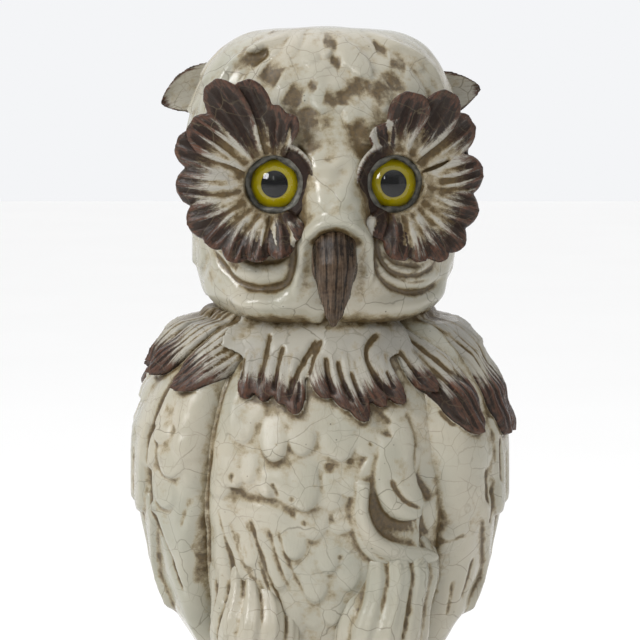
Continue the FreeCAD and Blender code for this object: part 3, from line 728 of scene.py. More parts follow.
# %% Head relief
face = Relief((-math.pi * HEAD_ROUND, math.pi * HEAD_ROUND), (NECK - 4, head_top + 6), 0.0)
face.h += 0.9 * lumps(face.h.shape, 18 / CELL, 21) + 0.5 * lumps(face.h.shape, 7 / CELL, 22)
face_u = (face.low[0] + CELL * np.arange(face.h.shape[0]))[:, None]
face_v = (face.low[1] + CELL * np.arange(face.h.shape[1]))[None, :]
# Tufts on the forehead, laid first, so that the nose and the folds shape them too.
for n in range(44):
    x, z = rng.uniform(-48, 48), rng.uniform(84, 138)
    slope = 0.16 * x
    face.feather(on_face((x - slope * 0.5, z + 7), (x + slope * 0.5, z - 6)), rng.uniform(4, 7.5),
                 rng.uniform(0.5, 1.5), root=0.7, widest=0.5, sunk=0.0)
# The nose: a bridge that stands out most just above the beak.
up = face_v - NECK
nose_high = np.interp(up, [0, 8, 20, 32, 44, 56, 68, 84, 98], [0, 0.5, 2.5, 5.0, 8.5, 8.0, 6.0, 2.5, 0])
nose_wide = np.interp(up, [0, 20, 32, 44, 56, 68, 84, 98], [15, 17, 17, 16, 13.5, 12, 14, 18])
face.h += nose_high * np.exp(-np.abs((face_u + 0.5) / nose_wide) ** 3.6)
for x, z, size, high in [(-4, 60, 5, 1.2), (5, 63, 4, 1.0), (-6, 71, 4, -0.8), (3, 54, 5, 1.0),
                         (0, 68, 3, -0.9)]:
    face.swell(on_face((x, z))[0], (size, size), high)
print("forehead tufts:", face.count)

# %% Frame of the beak and folds of the cheeks
# A raised frame runs round the beak like an arch.
arch = [(-18.5, 14), (-18, 21), (-16.6, 31), (-15.6, 38.7), (-12.5, 45), (-6, 50), (0, 51), (6.5, 48.5),
        (12, 44), (15, 38.7), (15.6, 31), (15, 22), (14, 14)]
face.groove(on_face(*arch), 3.2, -3.4, stain=0)
face.groove(on_face((-1.5, 44), (-1.8, 26), (-2.2, 8)), 8.0, 5.0, stain=0.45)
face.groove(on_face((-11, 39), (-7, 44), (-0.5, 46.5), (6, 44), (10, 39)), 3.0, 1.4, stain=1.0)
# Cheek folds under the face discs, and finer wrinkles beside them.
folds = [([(-59, 38), (-52, 28), (-44, 20.5), (-35, 18), (-25, 20), (-19.5, 28), (-18.5, 42)], 2.4, 2.6),
         ([(18.0, 44), (18.5, 32), (22, 24), (28, 18.5), (36, 15.5), (46, 16), (54, 21)], 1.7, 2.0),
         ([(20, 42), (22, 33), (28, 26), (38, 23.5), (50, 27)], 1.2, 1.6),
         ([(23, 36), (30, 30), (42, 28)], 1.0, 1.1), ([(26, 37), (34, 33.5), (44, 33)], 0.9, 0.9),
         ([(-54, 43), (-42, 33), (-28, 32), (-21, 38)], 2.0, 1.6), ([(-50, 30), (-44, 27)], 2.2, 0.8),
         ([(21, 38), (25, 28), (34, 21), (46, 21)], 0.8, 0.9), ([(24, 40), (32, 36), (43, 35.5)], 0.7, 0.7)]
for path, width, depth in folds:
    face.groove(on_face(*path), width, depth, stain=0.6)
for n in range(34):
    x, z, size = rng.uniform(-11, 11), rng.uniform(48, 80), rng.uniform(1.6, 3.4)
    face.swell(on_face((x, z))[0], (size, size), rng.uniform(-0.8, 0.9))
for x, z, size, height in [(-38, 27, (14, 6), 2.6), (38, 21, (15, 5), 1.6), (-31, 9.5, (22, 6.5), 4.8),
                           (30, 8, (22, 6), 4.6), (-54, 15, (14, 8), 2.2), (53, 14, (14, 8), 2.2)]:
    face.swell(on_face((x, z))[0], size, height)
face.groove(on_face((-2, 7), (-2, -3)), 3.0, 3.4, stain=1.0)
print("cheek folds:", len(folds))

# %% Brow, blotches and the back of the head
# Two edges of the brow run down the sides from the crown.
for side in (-1, 1):
    face.groove(on_face((side * 22, 139), (side * 42, 128), (side * 55, 108), (side * 60, 88)), 3.0, -2.2,
                stain=0)
    face.groove(on_face((side * 19, 137), (side * 37, 125), (side * 49, 106)), 2.2, 0.8, stain=0.2)
    face.groove(on_face((side * 47, 126), (side * 58, 108), (side * 62, 88)), 1.4, 0.9, stain=0.3)
blotches = [([(3.5, 112), (3, 105)], 3.0), ([(3, 108), (9, 112), (14, 116)], 2.4),
            ([(2, 106), (-5, 110)], 2.8), ([(-14, 104), (-13, 92), (-11.5, 82)], 3.4),
            ([(9, 99), (11.5, 90), (14, 80)], 3.4), ([(-34, 122), (-26, 116)], 4.2),
            ([(18, 108), (27, 116), (33, 119)], 4.2), ([(-4, 136), (3, 133)], 2.6),
            ([(-22, 112), (-15, 108)], 3.6), ([(28, 127), (36, 121)], 3.2),
            ([(-42, 130), (-33, 126)], 3.4), ([(-1, 127), (4, 124)], 2.2), ([(22, 133), (28, 129)], 2.6),
            ([(-12, 116), (-8, 113)], 2.4)]
for path, width in blotches:
    face.groove(on_face(*path), 1.5 * width, 0.8, stain=0.9)
# Behind and at the sides, rows of soft feathers.
for row, height in enumerate(range(298, 412, 15)):
    for n in range(9, 23):
        u = 14.6 * n + 7.3 * (row % 2) + rng.uniform(-3, 3)
        for place in {u, u - 2 * math.pi * HEAD_ROUND}:
            face.feather([(place, height + 18), (place, height + rng.uniform(-2, 2))], rng.uniform(7, 9.5),
                         1.2 + rng.uniform(0, 1.0), root=0.7, widest=0.55, sunk=0.05)
face.h = blur(face.h, 1)
face_hollow = np.minimum(0.55 * (blur(face.h, 3) - face.h) + 0.32 * (blur(face.h, 9) - face.h), 0.6)
print("feathers on the head:", face.count)

# %% [markdown]
# ### Face discs
# Each eye looks out of a dish of petals. A petal here is a flattened tube in the eye's own frame: narrow at
# the root, round at the tip and cupped, with ribs along it. The frame's x runs across, y up and z out of the
# eye.

# %% Eye frame and dish
GLASS_MIDDLE = 3.25    # from the middle of the glass dome's box out to the socket's rim, in mm
SOCKET, SOCKET_DEPTH = 14.0, 22.0
PETALS = {
    "right": [(107, 35), (92, 38), (76, 51), (60, 56), (37, 49), (22, 51), (0, 47), (-25, 45), (-43, 42),
              (-63, 41), (-78, 37), (-98, 35), (-117, 29)],
    "left": [(107, 30), (82, 44), (61, 50), (39, 48), (8, 44), (-20, 43), (-43, 44), (-59, 42), (-75, 38),
             (-93, 36), (-117, 28)],
}


def eye_frame(side, name):
    """The turn and the place of an eye, in the row's frame."""
    turn = turn_about_z(HEAD_TURN + side * EYE_SPLAY) @ STAND_UP
    low, high = read_mm(name + "_eye_glass")
    return turn, (low + high) / 2 + GLASS_MIDDLE * turn[:, 2]


def dish(x, y, side):
    """The dish's middle surface: it rises round the eye and falls back round the side of the head."""
    r = np.hypot(x, y)
    outward = np.clip(side * x - 12, 0, None)
    return -3.5 + 12.5 * np.clip(r / 48, 0, 1.2) ** 1.4 - 11.0 * (outward / 34) ** 2

# %% One petal
class Leaf:
    """A cupped petal: its path in the frame's x and y, half width, thickness and lift."""
    def __init__(self, path, width, thick, lift, lean, root=0.4, widest=0.7, cup=1.2, barbs=0.4, gap=3.4,
                 number=0, paint=0.5, tip=0.5):
        self.path, self.width, self.thick, self.lift, self.lean = path, width, thick, lift, lean
        self.root, self.widest, self.cup, self.barbs, self.gap = root, widest, cup, barbs, gap
        self.number, self.paint, self.tip = number, paint, tip

    def place(self, x, y):
        t, s = along_and_beside(x, y, self.path)
        return t, s, s / np.maximum(self.width * leaf_width(t, self.root, self.widest, self.tip), 0.3)

    def press(self, clay, height, soft=1.2):
        """Adds the petal to a block; height gives the middle surface over x and y."""
        path = np.array(self.path)
        low, high = path.min(0) - self.width - 4, path.max(0) + self.width + 4
        part, x, y, z = clay.near((*low, clay.low[2]), (*high, 999))
        t, s, q = [a[:, :, None] for a in self.place(x[:, :, 0], y[:, :, 0])]
        crown = 1 - np.clip(q, -1, 1) ** 2
        middle = height(x, y) + self.lift - self.cup * crown + self.lean * s
        phase = 2 * np.pi * s / self.gap
        wave = np.cos(phase + self.number) + 0.6 * np.cos(2.3 * phase + 2 * self.number)
        middle = middle + self.barbs * wave * smooth_step(0.1, 0.5, t) * crown
        thick = self.thick * (0.6 + 0.4 * smooth_step(0, 0.6, t))
        g = np.sqrt(np.minimum(q, 9) ** 2 + ((z - middle) / thick) ** 2) - 1
        length = np.hypot(*(path[-1] - path[0]))
        d = np.maximum(true_distance(g, clay.step), np.maximum((t - 0.985) * length, -t * length))
        clay.d[part] = melt(clay.d[part], d, soft)

# %% A disc of petals
def face_disc(side, petals):
    """A disc of petals in clay, with its socket bored out, and the petals it is made of."""
    clay = Clay((-62, -60, -30), (62, 62, 20), FINE)
    leaves = []
    for n, (angle, length) in enumerate(petals):
        gaps = [abs(angle - petals[k][0]) for k in (n - 1, n + 1) if 0 <= k < len(petals)]
        width = min(10.0, max(5.0, 0.6 * math.radians(np.mean(gaps)) * length))
        bend = math.radians(rng.uniform(-5, 5))
        a = math.radians(angle)
        path = [(side * r * math.cos(a + b), r * math.sin(a + b))
                for r, b in ((12, 0), (0.6 * length, bend), (length, 0))]
        upper = angle > 20
        leaves.append(Leaf(path, width, 2.9 if upper else 3.5, rng.uniform(-1.0, 1.2),
                           rng.uniform(-0.2, 0.2), root=0.36,
                           cup=rng.uniform(1.8, 3.0) if upper else rng.uniform(-1.8, 0.4),
                           barbs=rng.uniform(0.25, 0.6), gap=rng.uniform(5.0, 8.5), number=n,
                           paint=rng.uniform(-0.15, 0.1) if abs(angle) > 50 and (angle > 0 or angle < -90)
                           else rng.uniform(0.15, 0.35)))
    surface = lambda x, y: dish(x, y, side)
    for leaf in leaves[::2] + leaves[1::2]:
        leaf.press(clay, surface, soft=0.8)
    _, x, y, z = clay.whole()
    r = np.hypot(x, y)
    angle = np.degrees(np.arctan2(y, side * x))
    order = sorted(petals)
    reach = np.interp(angle, [a for a, _ in order], [0.88 * length for _, length in order], left=19,
                      right=19)
    depth = surface(x, y) - z
    core = np.maximum(np.maximum(r - reach + 0.35 * np.clip(depth, 0, None), 1.5 - depth), -28 - z)
    clay.d = melt(clay.d, core, 2.0)
    # The lids: thin soft folds of clay over the brow and in the corner beside the nose.
    for radius, thick, first, last, lift in ((19.8, 1.2, 62, 178, -1.6), (17.4, 0.8, 120, 236, -3.2),
                                             (20.6, 0.8, 165, 228, -2.6)):
        sweep = np.radians(np.linspace(first, last, 22))
        arc = [(side * radius * math.cos(a), radius * math.sin(a), lift) for a in sweep]
        ends = [thick * min(1, 0.45 + 0.25 * min(k, 21 - k)) for k in range(22)]
        clay.rod(arc, ends, soft=1.2)
    clay.d = carve(clay.d, r - SOCKET + 0.3, 1.0).astype(np.float32)
    return clay, leaves

# %% The head and the discs in clay
def head_shape(x, y, z):
    """Distance to the finished head, in the head's own frame."""
    r = np.hypot(x, y)
    side = true_distance(head_form.level(x, y, z) - 1, FINE)
    h = face.read(face.h, HEAD_ROUND * np.arctan2(x, -y), z) * smooth_step(4, 26, r)
    dome = z - (head_top - 0.5 - 0.0013 * r ** 2 + 0.5 * np.cos(x / 7) * np.cos(y / 9 + 1))
    return -melt(-(side - h), -dome, 9.0)


head = Clay((-82, -84, NECK - 3), (82, 70, head_top + 4), 1.3 * FINE)
_, hx, hy, hz = head.whole()
head.d = np.maximum(head_shape(hx, hy, hz), NECK - hz).astype(np.float32)
discs = {name: face_disc(side, PETALS[name]) for name, side in SIDES}
for name, side in SIDES:
    turn, place = eye_frame(side, name)
    place = row_to_head(place)
    turn = turn_about_z(-HEAD_TURN) @ turn
    px, py, pz = hx - place[0], hy - place[1], hz - place[2]
    across, upward, out = [turn[0, k] * px + turn[1, k] * py + turn[2, k] * pz for k in range(3)]
    bore = np.maximum(np.hypot(across, upward) - SOCKET, -SOCKET_DEPTH - out)
    head.d = carve(head.d, bore, 1.5).astype(np.float32)

# %% Head as a mesh
points, quads = head.surface()
row_points = head_to_row(points)
# Painted shade on the head close beside each disc.
painted_shade_by_discs = np.zeros(len(points))
for name, side in SIDES:
    turn, place = eye_frame(side, name)
    gap = discs[name][0].read((row_points - place) @ turn)
    painted_shade_by_discs = np.maximum(painted_shade_by_discs, np.exp(-np.clip(gap, 0, None) / 2.6))
u, v = HEAD_ROUND * np.arctan2(points[:, 0], -points[:, 1]), points[:, 2]
fade = smooth_step(4, 26, np.hypot(points[:, 0], points[:, 1]))
# Painted shade at the foot of the head, where it meets the body.
painted_shade_at_neck = smooth_step(10, 1, points[:, 2] - NECK)
above = points[:, 2] - NECK
# Darker patches: painted shade and umber on the brow, a painted shadow under each disc, darker glaze beside
# the beak, and umber on the bridge of the nose.
brow = np.exp(-((points[:, 0] - 2) / 30) ** 2 - ((above - 96) / 17) ** 2) * (points[:, 1] < 0)
under = np.exp(-((np.abs(points[:, 0]) - 40) / 22) ** 2 - ((above - 34) / 12) ** 2) * (points[:, 1] < 0)
beside_beak = np.exp(-((np.abs(points[:, 0] + 1) - 14) / 4) ** 2
                     - ((above - 26) / 14) ** 2) * (points[:, 1] < 0)
bridge = np.exp(-(points[:, 0] / 12) ** 2 - ((above - 60) / 12) ** 2) * (points[:, 1] < 0)
stained_and_shaded_patches = 0.3 * brow + 0.25 * under + 0.45 * beside_beak + 0.28 * bridge
# Umber and painted shade in the folds and hollows of the face.
stain = (0.9 * face.read(face.stain, u, v) + face.read(face_hollow, u, v)) * fade
stain = stain + 0.6 * painted_shade_by_discs + 0.8 * painted_shade_at_neck + stained_and_shaded_patches
pieces["head_shell"] = make_piece("head", row_points, quads, face.marks(u, v) | {"stain": stain})

# %% Discs as meshes
for name, side in SIDES:
    clay, leaves = discs[name]
    turn, place = eye_frame(side, name)
    points, quads = clay.surface()
    closest = np.full(len(points), 9.0)
    brown, across, along = [np.zeros(len(points)) for _ in range(3)]
    for leaf in leaves:
        t, s, q = leaf.place(points[:, 0], points[:, 1])
        inside = np.abs(q) + np.clip(t - 1, 0, None) * 9
        wins = inside < closest
        brown = np.where(wins, smooth_step(leaf.paint, leaf.paint + 0.75, t), brown)
        across, along = np.where(wins, s + 37 * leaf.number, across), np.where(wins, 40 * t, along)
        closest = np.minimum(inside, closest)
    r = np.hypot(points[:, 0], points[:, 1])
    corner = smooth_step(-0.1, 0.75, -side * points[:, 0] / r) * smooth_step(22.5, 17.5, r)
    brown = np.maximum(brown, 0.95 * corner)
    # Umber and painted shade in the creases between petals, painted shade at the socket's rim, darker
    # towards the eye, and darker in the brown corner by the nose.
    in_creases = np.clip(-clay.read(points, blur(clay.d, 2)) * 1.6, -0.4, 1)
    marks = {"brown": brown, "across": across, "along": along,
             "stain": 1.2 * in_creases + 0.8 * smooth_step(20, 15, r) + 0.3 * smooth_step(34, 18, r)
             + 0.6 * corner}
    pieces[name + "_face_disc"] = make_piece(name + "_petals", points @ turn.T + place, quads, marks)

# %% [markdown]
# ### Eyes
# An eye is a turned piece: a glass dome with a flat back, on thin discs of yellow and black enamel. The
# discs reach 0.1 to 0.2 mm into the glass, so no air shows between glass and paint. A hand-pressed roll of
# putty beds it in.

# %% Turned pieces
GLASS_RADIUS, GLASS_SEAT, DOME_RADIUS, DOME_TOP = 12.0, -7.5, 13.79, 1.0
IRIS_RADIUS, PUPIL_RADIUS = 11.2, 5.3


def turned(name, outline, turn, place, smooth, count=96):
    """A closed round piece, from its outline of (radius, height) that starts and ends on the axis."""
    rings = outline[1:-1]
    sweep = np.linspace(0, 2 * np.pi, count, endpoint=False)
    points = [(r * math.cos(a), r * math.sin(a), z) for r, z in rings for a in sweep]
    points += [(0, 0, outline[0][1]), (0, 0, outline[-1][1])]
    faces = [(k * count + i, k * count + (i + 1) % count, (k + 1) * count + (i + 1) % count,
              (k + 1) * count + i)
             for k in range(len(rings) - 1) for i in range(count)]
    top, low_pole, high_pole = (len(rings) - 1) * count, len(points) - 2, len(points) - 1
    faces += [(low_pole, (i + 1) % count, i) for i in range(count)]
    faces += [(high_pole, top + i, top + (i + 1) % count) for i in range(count)]
    mesh = bpy.data.meshes.new(name)
    mesh.from_pydata([tuple(MM * c) for c in np.array(points) @ turn.T + place], [], faces)
    if smooth:
        mesh.shade_smooth()
    piece = bpy.data.objects.new(name, mesh)
    bpy.context.scene.collection.objects.link(piece)
    return piece

# %% Glass, enamel and putty
eye_middles = {}
for name, side in SIDES:
    turn, place = eye_frame(side, name)
    widest = math.asin(GLASS_RADIUS / DOME_RADIUS)
    dome = [(DOME_RADIUS * math.sin(a), DOME_TOP - DOME_RADIUS * (1 - math.cos(a)))
            for a in np.linspace(widest, 0, 28)]
    flat = [(0, GLASS_SEAT), (6, GLASS_SEAT), (11.7, GLASS_SEAT), (11.95, GLASS_SEAT + 0.1),
            (12, GLASS_SEAT + 0.4)]
    pieces[name + "_eye_glass"] = turned(name + "_glass_dome", flat + dome, turn, place, True)
    for part, radius, top in (("iris", IRIS_RADIUS, GLASS_SEAT + 0.1),
                              ("pupil", PUPIL_RADIUS, GLASS_SEAT + 0.2)):
        disc = [(0, GLASS_SEAT - 0.5), (radius, GLASS_SEAT - 0.5), (radius, top), (0, top)]
        pieces[f"{name}_eye_{part}"] = turned(f"{name}_{part}_disc", disc, turn, place, False)
    eye_middles[name] = MM * (place + GLASS_SEAT * turn[:, 2])
    clay = Clay((-19, -19, -13), (19, 19, 0), 0.7 * FINE)
    sweep = np.linspace(0, 2 * np.pi, 49)
    nose_side = np.clip(-side * np.cos(sweep), 0, 1)
    radii = 13.1 + 0.5 * np.sin(5 * sweep) + 0.9 * nose_side
    heights = -5.9 + 0.35 * np.sin(3 * sweep + side)
    roll = [(r * math.cos(a), r * math.sin(a), z) for a, r, z in zip(sweep, radii, heights)]
    clay.rod(roll, 1.75 + 0.25 * np.sin(7 * sweep) + 0.7 * nose_side, soft=0.6)
    points, quads = clay.surface()
    flat_marks = {label: np.zeros(len(points)) for label in ("brown", "stain")}
    pieces[name + "_eye_putty"] = make_piece(name + "_putty_roll", points @ turn.T + place, quads,
                                             flat_marks)

# %% [markdown]
# ### Ear tufts and beak
# An ear tuft is one cupped leaf with a brushed brown edge. The beak is a curved, tapering rod with furrows.

# %% Ears
EAR_BEHIND = 15.0
for name, side in SIDES:
    clay = Clay((min(side * 40, side * 88), 86, -22), (max(side * 40, side * 88), 132, 6), FINE)
    ear = Leaf([(side * 44, 110 - 3 * side), (side * 62, 110.5 - side), (side * 80.5, 108.5 + 4 * side)],
               13.0, 1.7, -EAR_BEHIND, 0.0, root=1.0, widest=0.3, cup=3.0, barbs=0.0, tip=0.85)
    ear.press(clay, lambda x, y: 0.12 * np.abs(x - side * 50))
    points, quads = clay.surface()
    t, s, q = ear.place(points[:, 0], points[:, 1])
    edge = np.maximum(smooth_step(0.72, 1.0, np.abs(q)), smooth_step(0.8, 1.0, t))
    row_points = head_to_row(points @ STAND_UP.T + (0, 0, NECK))
    marks = {"brown": edge * smooth_step(0.2, 0.5, t), "across": s, "along": 40 * t,
             "stain": 0.35 * smooth_step(0.4, 0.25, t)}
    pieces[name + "_ear_tuft"] = make_piece(name + "_ear", row_points, quads, marks)

# %% Beak
clay = Clay((-14, -88, NECK - 4), (14, -50, NECK + 50), 0.7 * FINE)
clay.rod([(-1, -60, NECK + 44), (-1, -67, NECK + 38), (-1.2, -70.5, NECK + 29), (-1.6, -73.5, NECK + 18),
          (-2.0, -75, NECK + 9), (-2.2, -74, NECK + 3.5)], [6.5, 9.3, 9.8, 7.4, 4.5, 1.8])
_, x, y, z = clay.whole()
half_wide = np.interp(z, [NECK + 4, NECK + 10, NECK + 20, NECK + 32], [3, 5, 8, 9.5])
lines = (x + 1.4) * (9.5 / half_wide).astype(np.float32)
furrows = np.abs(np.sin(np.pi * (lines + 1.2 * np.sin(z / 9) + 0.9 * np.sin(1.3 * lines)) / 5.2)) ** 0.8
clay.d = (clay.d + 0.6 * (1 - furrows) * smooth_step(NECK + 4, NECK + 14, z)).astype(np.float32)
points, quads = clay.surface()
# Umber and painted shade in the furrows, and darker towards the root of the beak.
ridge = -clay.read(points, blur(clay.d, 2))
marks = {"brown": np.full(len(points), 0.8), "across": points[:, 0] * 2, "along": points[:, 2] / 2,
         "stain": np.clip(ridge * 2.4, -1, 1) + 0.4 * smooth_step(NECK + 30, NECK + 40, points[:, 2])}
pieces["beak"] = make_piece("beak_horn", head_to_row(points), quads, marks)

# %% [markdown]
# ## Legs
# The thighs are shaggy: long strands run down them to points over the toes. A thigh is a chain of fat rods
# with a wave round it, and the two curled feathers on the breast hide its top.

# %% Legs
EDGE = -56.4          # the stump's front edge
LEG_AT = 42.0         # the middle of a leg, in front of the bird's


def leg(side, chain, radii):
    clay = Clay((min(0, side * 74), -86, STUMP_TOP + 1), (max(0, side * 74), -10, 212), BROAD)
    clay.rod([(side * x, y, z) for x, y, z in chain], radii, soft=2)
    _, x, y, z = clay.whole()
    heights = [p[2] for p in chain[::-1]]
    cx = np.interp(z, heights, [side * p[0] for p in chain[::-1]])
    around = np.arctan2(x - cx, -(y + LEG_AT))
    sway = around * 6.5 + 0.8 * np.sin(z / 15) + side * (z - 120) / 34
    strands = np.abs(np.sin(sway)) ** 0.7
    fade = smooth_step(204, 172, z)
    clay.d = clay.d - (2.8 * strands - 1.5) * fade - 0.35 * np.sin(sway * 5.3) * fade
    # The strands end in points of different lengths over the toes.
    hem = STUMP_TOP + 10 + 5 * (1 - strands) + 1.5 * np.sin(around * 5)
    clay.d = np.maximum(clay.d, (hem - z) * 0.6).astype(np.float32)
    points, quads = clay.surface()
    # Umber and painted shade in the furrows between strands; the thigh is also darker towards the foot and
    # towards its top under the curled feathers.
    deep = np.clip(-clay.read(points, blur(clay.d, 3)) * 0.9, -0.4, 1)
    bearing = np.arctan2(points[:, 0] - side * 28, -(points[:, 1] + LEG_AT))
    low, high = smooth_step(112, 94, points[:, 2]), smooth_step(166, 180, points[:, 2])
    marks = {"brown": np.zeros(len(points)), "across": 22 * bearing, "along": points[:, 2] / 3,
             "stain": deep + 0.5 * low + 0.35 * high}
    return make_piece(("left" if side > 0 else "right") + "_thigh", points, quads, marks)


pieces["left_leg"] = leg(1, [(37, -36, 192), (35, -45, 168), (29, -49, 138), (24, -48, 116), (20, -45, 96)],
                         [13, 19.5, 20.5, 16.5, 12.5])
pieces["right_leg"] = leg(-1, [(38, -22, 190), (35, -36, 166), (30, -47, 138), (24, -48, 116),
                               (20, -45, 96)],
                          [8, 17.0, 20.0, 16.5, 12.5])

# %% [markdown]
# ## Geometry Nodes
# Toes and tail feathers repeat one shape by a rule, which is what Geometry Nodes are for. A tree takes a few
# named sizes, makes instances, turns them into real mesh and sets the material. Its result is then kept as a
# plain mesh, so that nothing depends on a live modifier.

# %% Node and tree helpers
def node(tree, kind, inputs=None, **settings):
    """Adds a node with its settings.  inputs gives each socket a value, or another node's output to link."""
    made = tree.nodes.new(kind)
    for name, value in settings.items():
        setattr(made, name, value)
    for key, value in (inputs or {}).items():
        if isinstance(value, bpy.types.NodeSocket):
            tree.links.new(value, made.inputs[key])
        else:
            made.inputs[key].default_value = value
    return made


def new_tree(name, sizes):
    """An empty Geometry Nodes tree with a float input for each named size."""
    tree = bpy.data.node_groups.new(name, "GeometryNodeTree")
    tree.interface.new_socket("Geometry", in_out="INPUT", socket_type="NodeSocketGeometry")
    tree.interface.new_socket("Geometry", in_out="OUTPUT", socket_type="NodeSocketGeometry")
    for size in sizes:
        tree.interface.new_socket(size, in_out="INPUT", socket_type="NodeSocketFloat")
    tree.interface.new_socket("Finish", in_out="INPUT", socket_type="NodeSocketMaterial")
    return tree, node(tree, "NodeGroupInput").outputs


def close_tree(tree, parts, finish):
    """Ends a tree: the instances become real mesh, with smooth shading and the finish."""
    real = node(tree, "GeometryNodeRealizeInstances", {"Geometry": parts})
    soft = node(tree, "GeometryNodeSetShadeSmooth", {"Geometry": real.outputs["Geometry"]})
    done = node(tree, "GeometryNodeSetMaterial", {"Geometry": soft.outputs["Geometry"], "Material": finish})
    node(tree, "NodeGroupOutput", {"Geometry": done.outputs["Geometry"]})
    print(tree.name, "tree:", len(tree.nodes), "nodes")


def grow(name, mesh, tree, values):
    """Runs a tree on a mesh and returns the result as a plain mesh object."""
    seed = bpy.data.objects.new(name + "_seed", mesh)
    bpy.context.scene.collection.objects.link(seed)
    modifier = seed.modifiers.new(tree.name, "NODES")
    modifier.node_group = tree
    for socket in tree.interface.items_tree:
        if socket.in_out == "INPUT" and socket.name in values:
            modifier[socket.identifier] = values[socket.name]
    grown = bpy.data.meshes.new_from_object(seed.evaluated_get(bpy.context.evaluated_depsgraph_get()))
    seed.modifiers.remove(modifier)
    bpy.data.objects.remove(seed)
    grown.name = name
    piece = bpy.data.objects.new(name, grown)
    bpy.context.scene.collection.objects.link(piece)
    print(f"{name}: grown, {len(grown.polygons)} faces")
    return piece


toe_glaze = bpy.data.materials.new("foot_glaze_iron_brown")
feather_glaze = bpy.data.materials.new("feather_glaze_brushed_brown")

# %% [markdown]
# ### Toes
# A toe is a row of rounded scutes along a bent line, over a solid core. The line is a few points joined by
# edges. The tree smooths it, spaces points along it, sets a flattened bead on each and tapers them to the
# tip.

# %% The toe tree
toe_tree, sizes = new_tree("toe_scutes", ["Toe radius", "Scute length", "Taper"])
line = node(toe_tree, "GeometryNodeMeshToCurve", {"Mesh": sizes["Geometry"]})
line = node(toe_tree, "GeometryNodeCurveSplineType", {"Curve": line.outputs["Curve"]},
            spline_type="CATMULL_ROM")
even = node(toe_tree, "GeometryNodeResampleCurve",
            {"Curve": line.outputs["Curve"], "Length": sizes["Scute length"]}, mode="LENGTH")
along = node(toe_tree, "GeometryNodeSplineParameter").outputs["Factor"]
narrow = node(toe_tree, "ShaderNodeMath", {0: along, 1: sizes["Taper"], 2: 1.0}, operation="MULTIPLY_ADD")
thick = node(toe_tree, "ShaderNodeMath", {0: narrow.outputs[0], 1: sizes["Toe radius"]},
             operation="MULTIPLY")
core = node(toe_tree, "GeometryNodeSetCurveRadius",
            {"Curve": even.outputs["Curve"], "Radius": thick.outputs[0]})
ring = node(toe_tree, "GeometryNodeCurvePrimitiveCircle", {"Resolution": 20, "Radius": 0.9})
core = node(toe_tree, "GeometryNodeCurveToMesh",
            {"Curve": core.outputs["Curve"], "Profile Curve": ring.outputs["Curve"], "Fill Caps": True})
if "Scale" in core.inputs:
    toe_tree.links.new(thick.outputs[0], core.inputs["Scale"])
bead = node(toe_tree, "GeometryNodeMeshUVSphere", {"Segments": 20, "Rings": 12, "Radius": 1.0})
parts = node(toe_tree, "ShaderNodeSeparateXYZ", {0: node(toe_tree, "GeometryNodeInputPosition").outputs[0]})
# The ends of each scute are darkened: umber and painted shade in the creases between them.
end = node(toe_tree, "ShaderNodeMath", {0: parts.outputs["Z"]}, operation="ABSOLUTE")
crease = node(toe_tree, "ShaderNodeMapRange", {"Value": end.outputs[0], "From Min": 0.25, "From Max": 0.7,
              "To Min": -0.2, "To Max": 0.9})
bead = node(toe_tree, "GeometryNodeStoreNamedAttribute", {"Geometry": bead.outputs["Mesh"], "Name": "stain",
            "Value": crease.outputs["Result"]}, data_type="FLOAT", domain="POINT")
tangent = node(toe_tree, "GeometryNodeInputTangent").outputs["Tangent"]
turn = node(toe_tree, "FunctionNodeAlignRotationToVector", {"Vector": tangent}, axis="Z")
half = node(toe_tree, "ShaderNodeMath", {0: sizes["Scute length"], 1: 0.78}, operation="MULTIPLY")
size = node(toe_tree, "ShaderNodeCombineXYZ",
            {"X": thick.outputs[0], "Y": thick.outputs[0], "Z": half.outputs[0]})
beads = node(toe_tree, "GeometryNodeInstanceOnPoints",
             {"Points": even.outputs["Curve"], "Instance": bead.outputs["Geometry"],
              "Rotation": turn.outputs["Rotation"], "Scale": size.outputs["Vector"]})
both = node(toe_tree, "GeometryNodeJoinGeometry")
toe_tree.links.new(beads.outputs["Instances"], both.inputs["Geometry"])
toe_tree.links.new(core.outputs["Mesh"], both.inputs["Geometry"])
close_tree(toe_tree, both.outputs["Geometry"], sizes["Finish"])

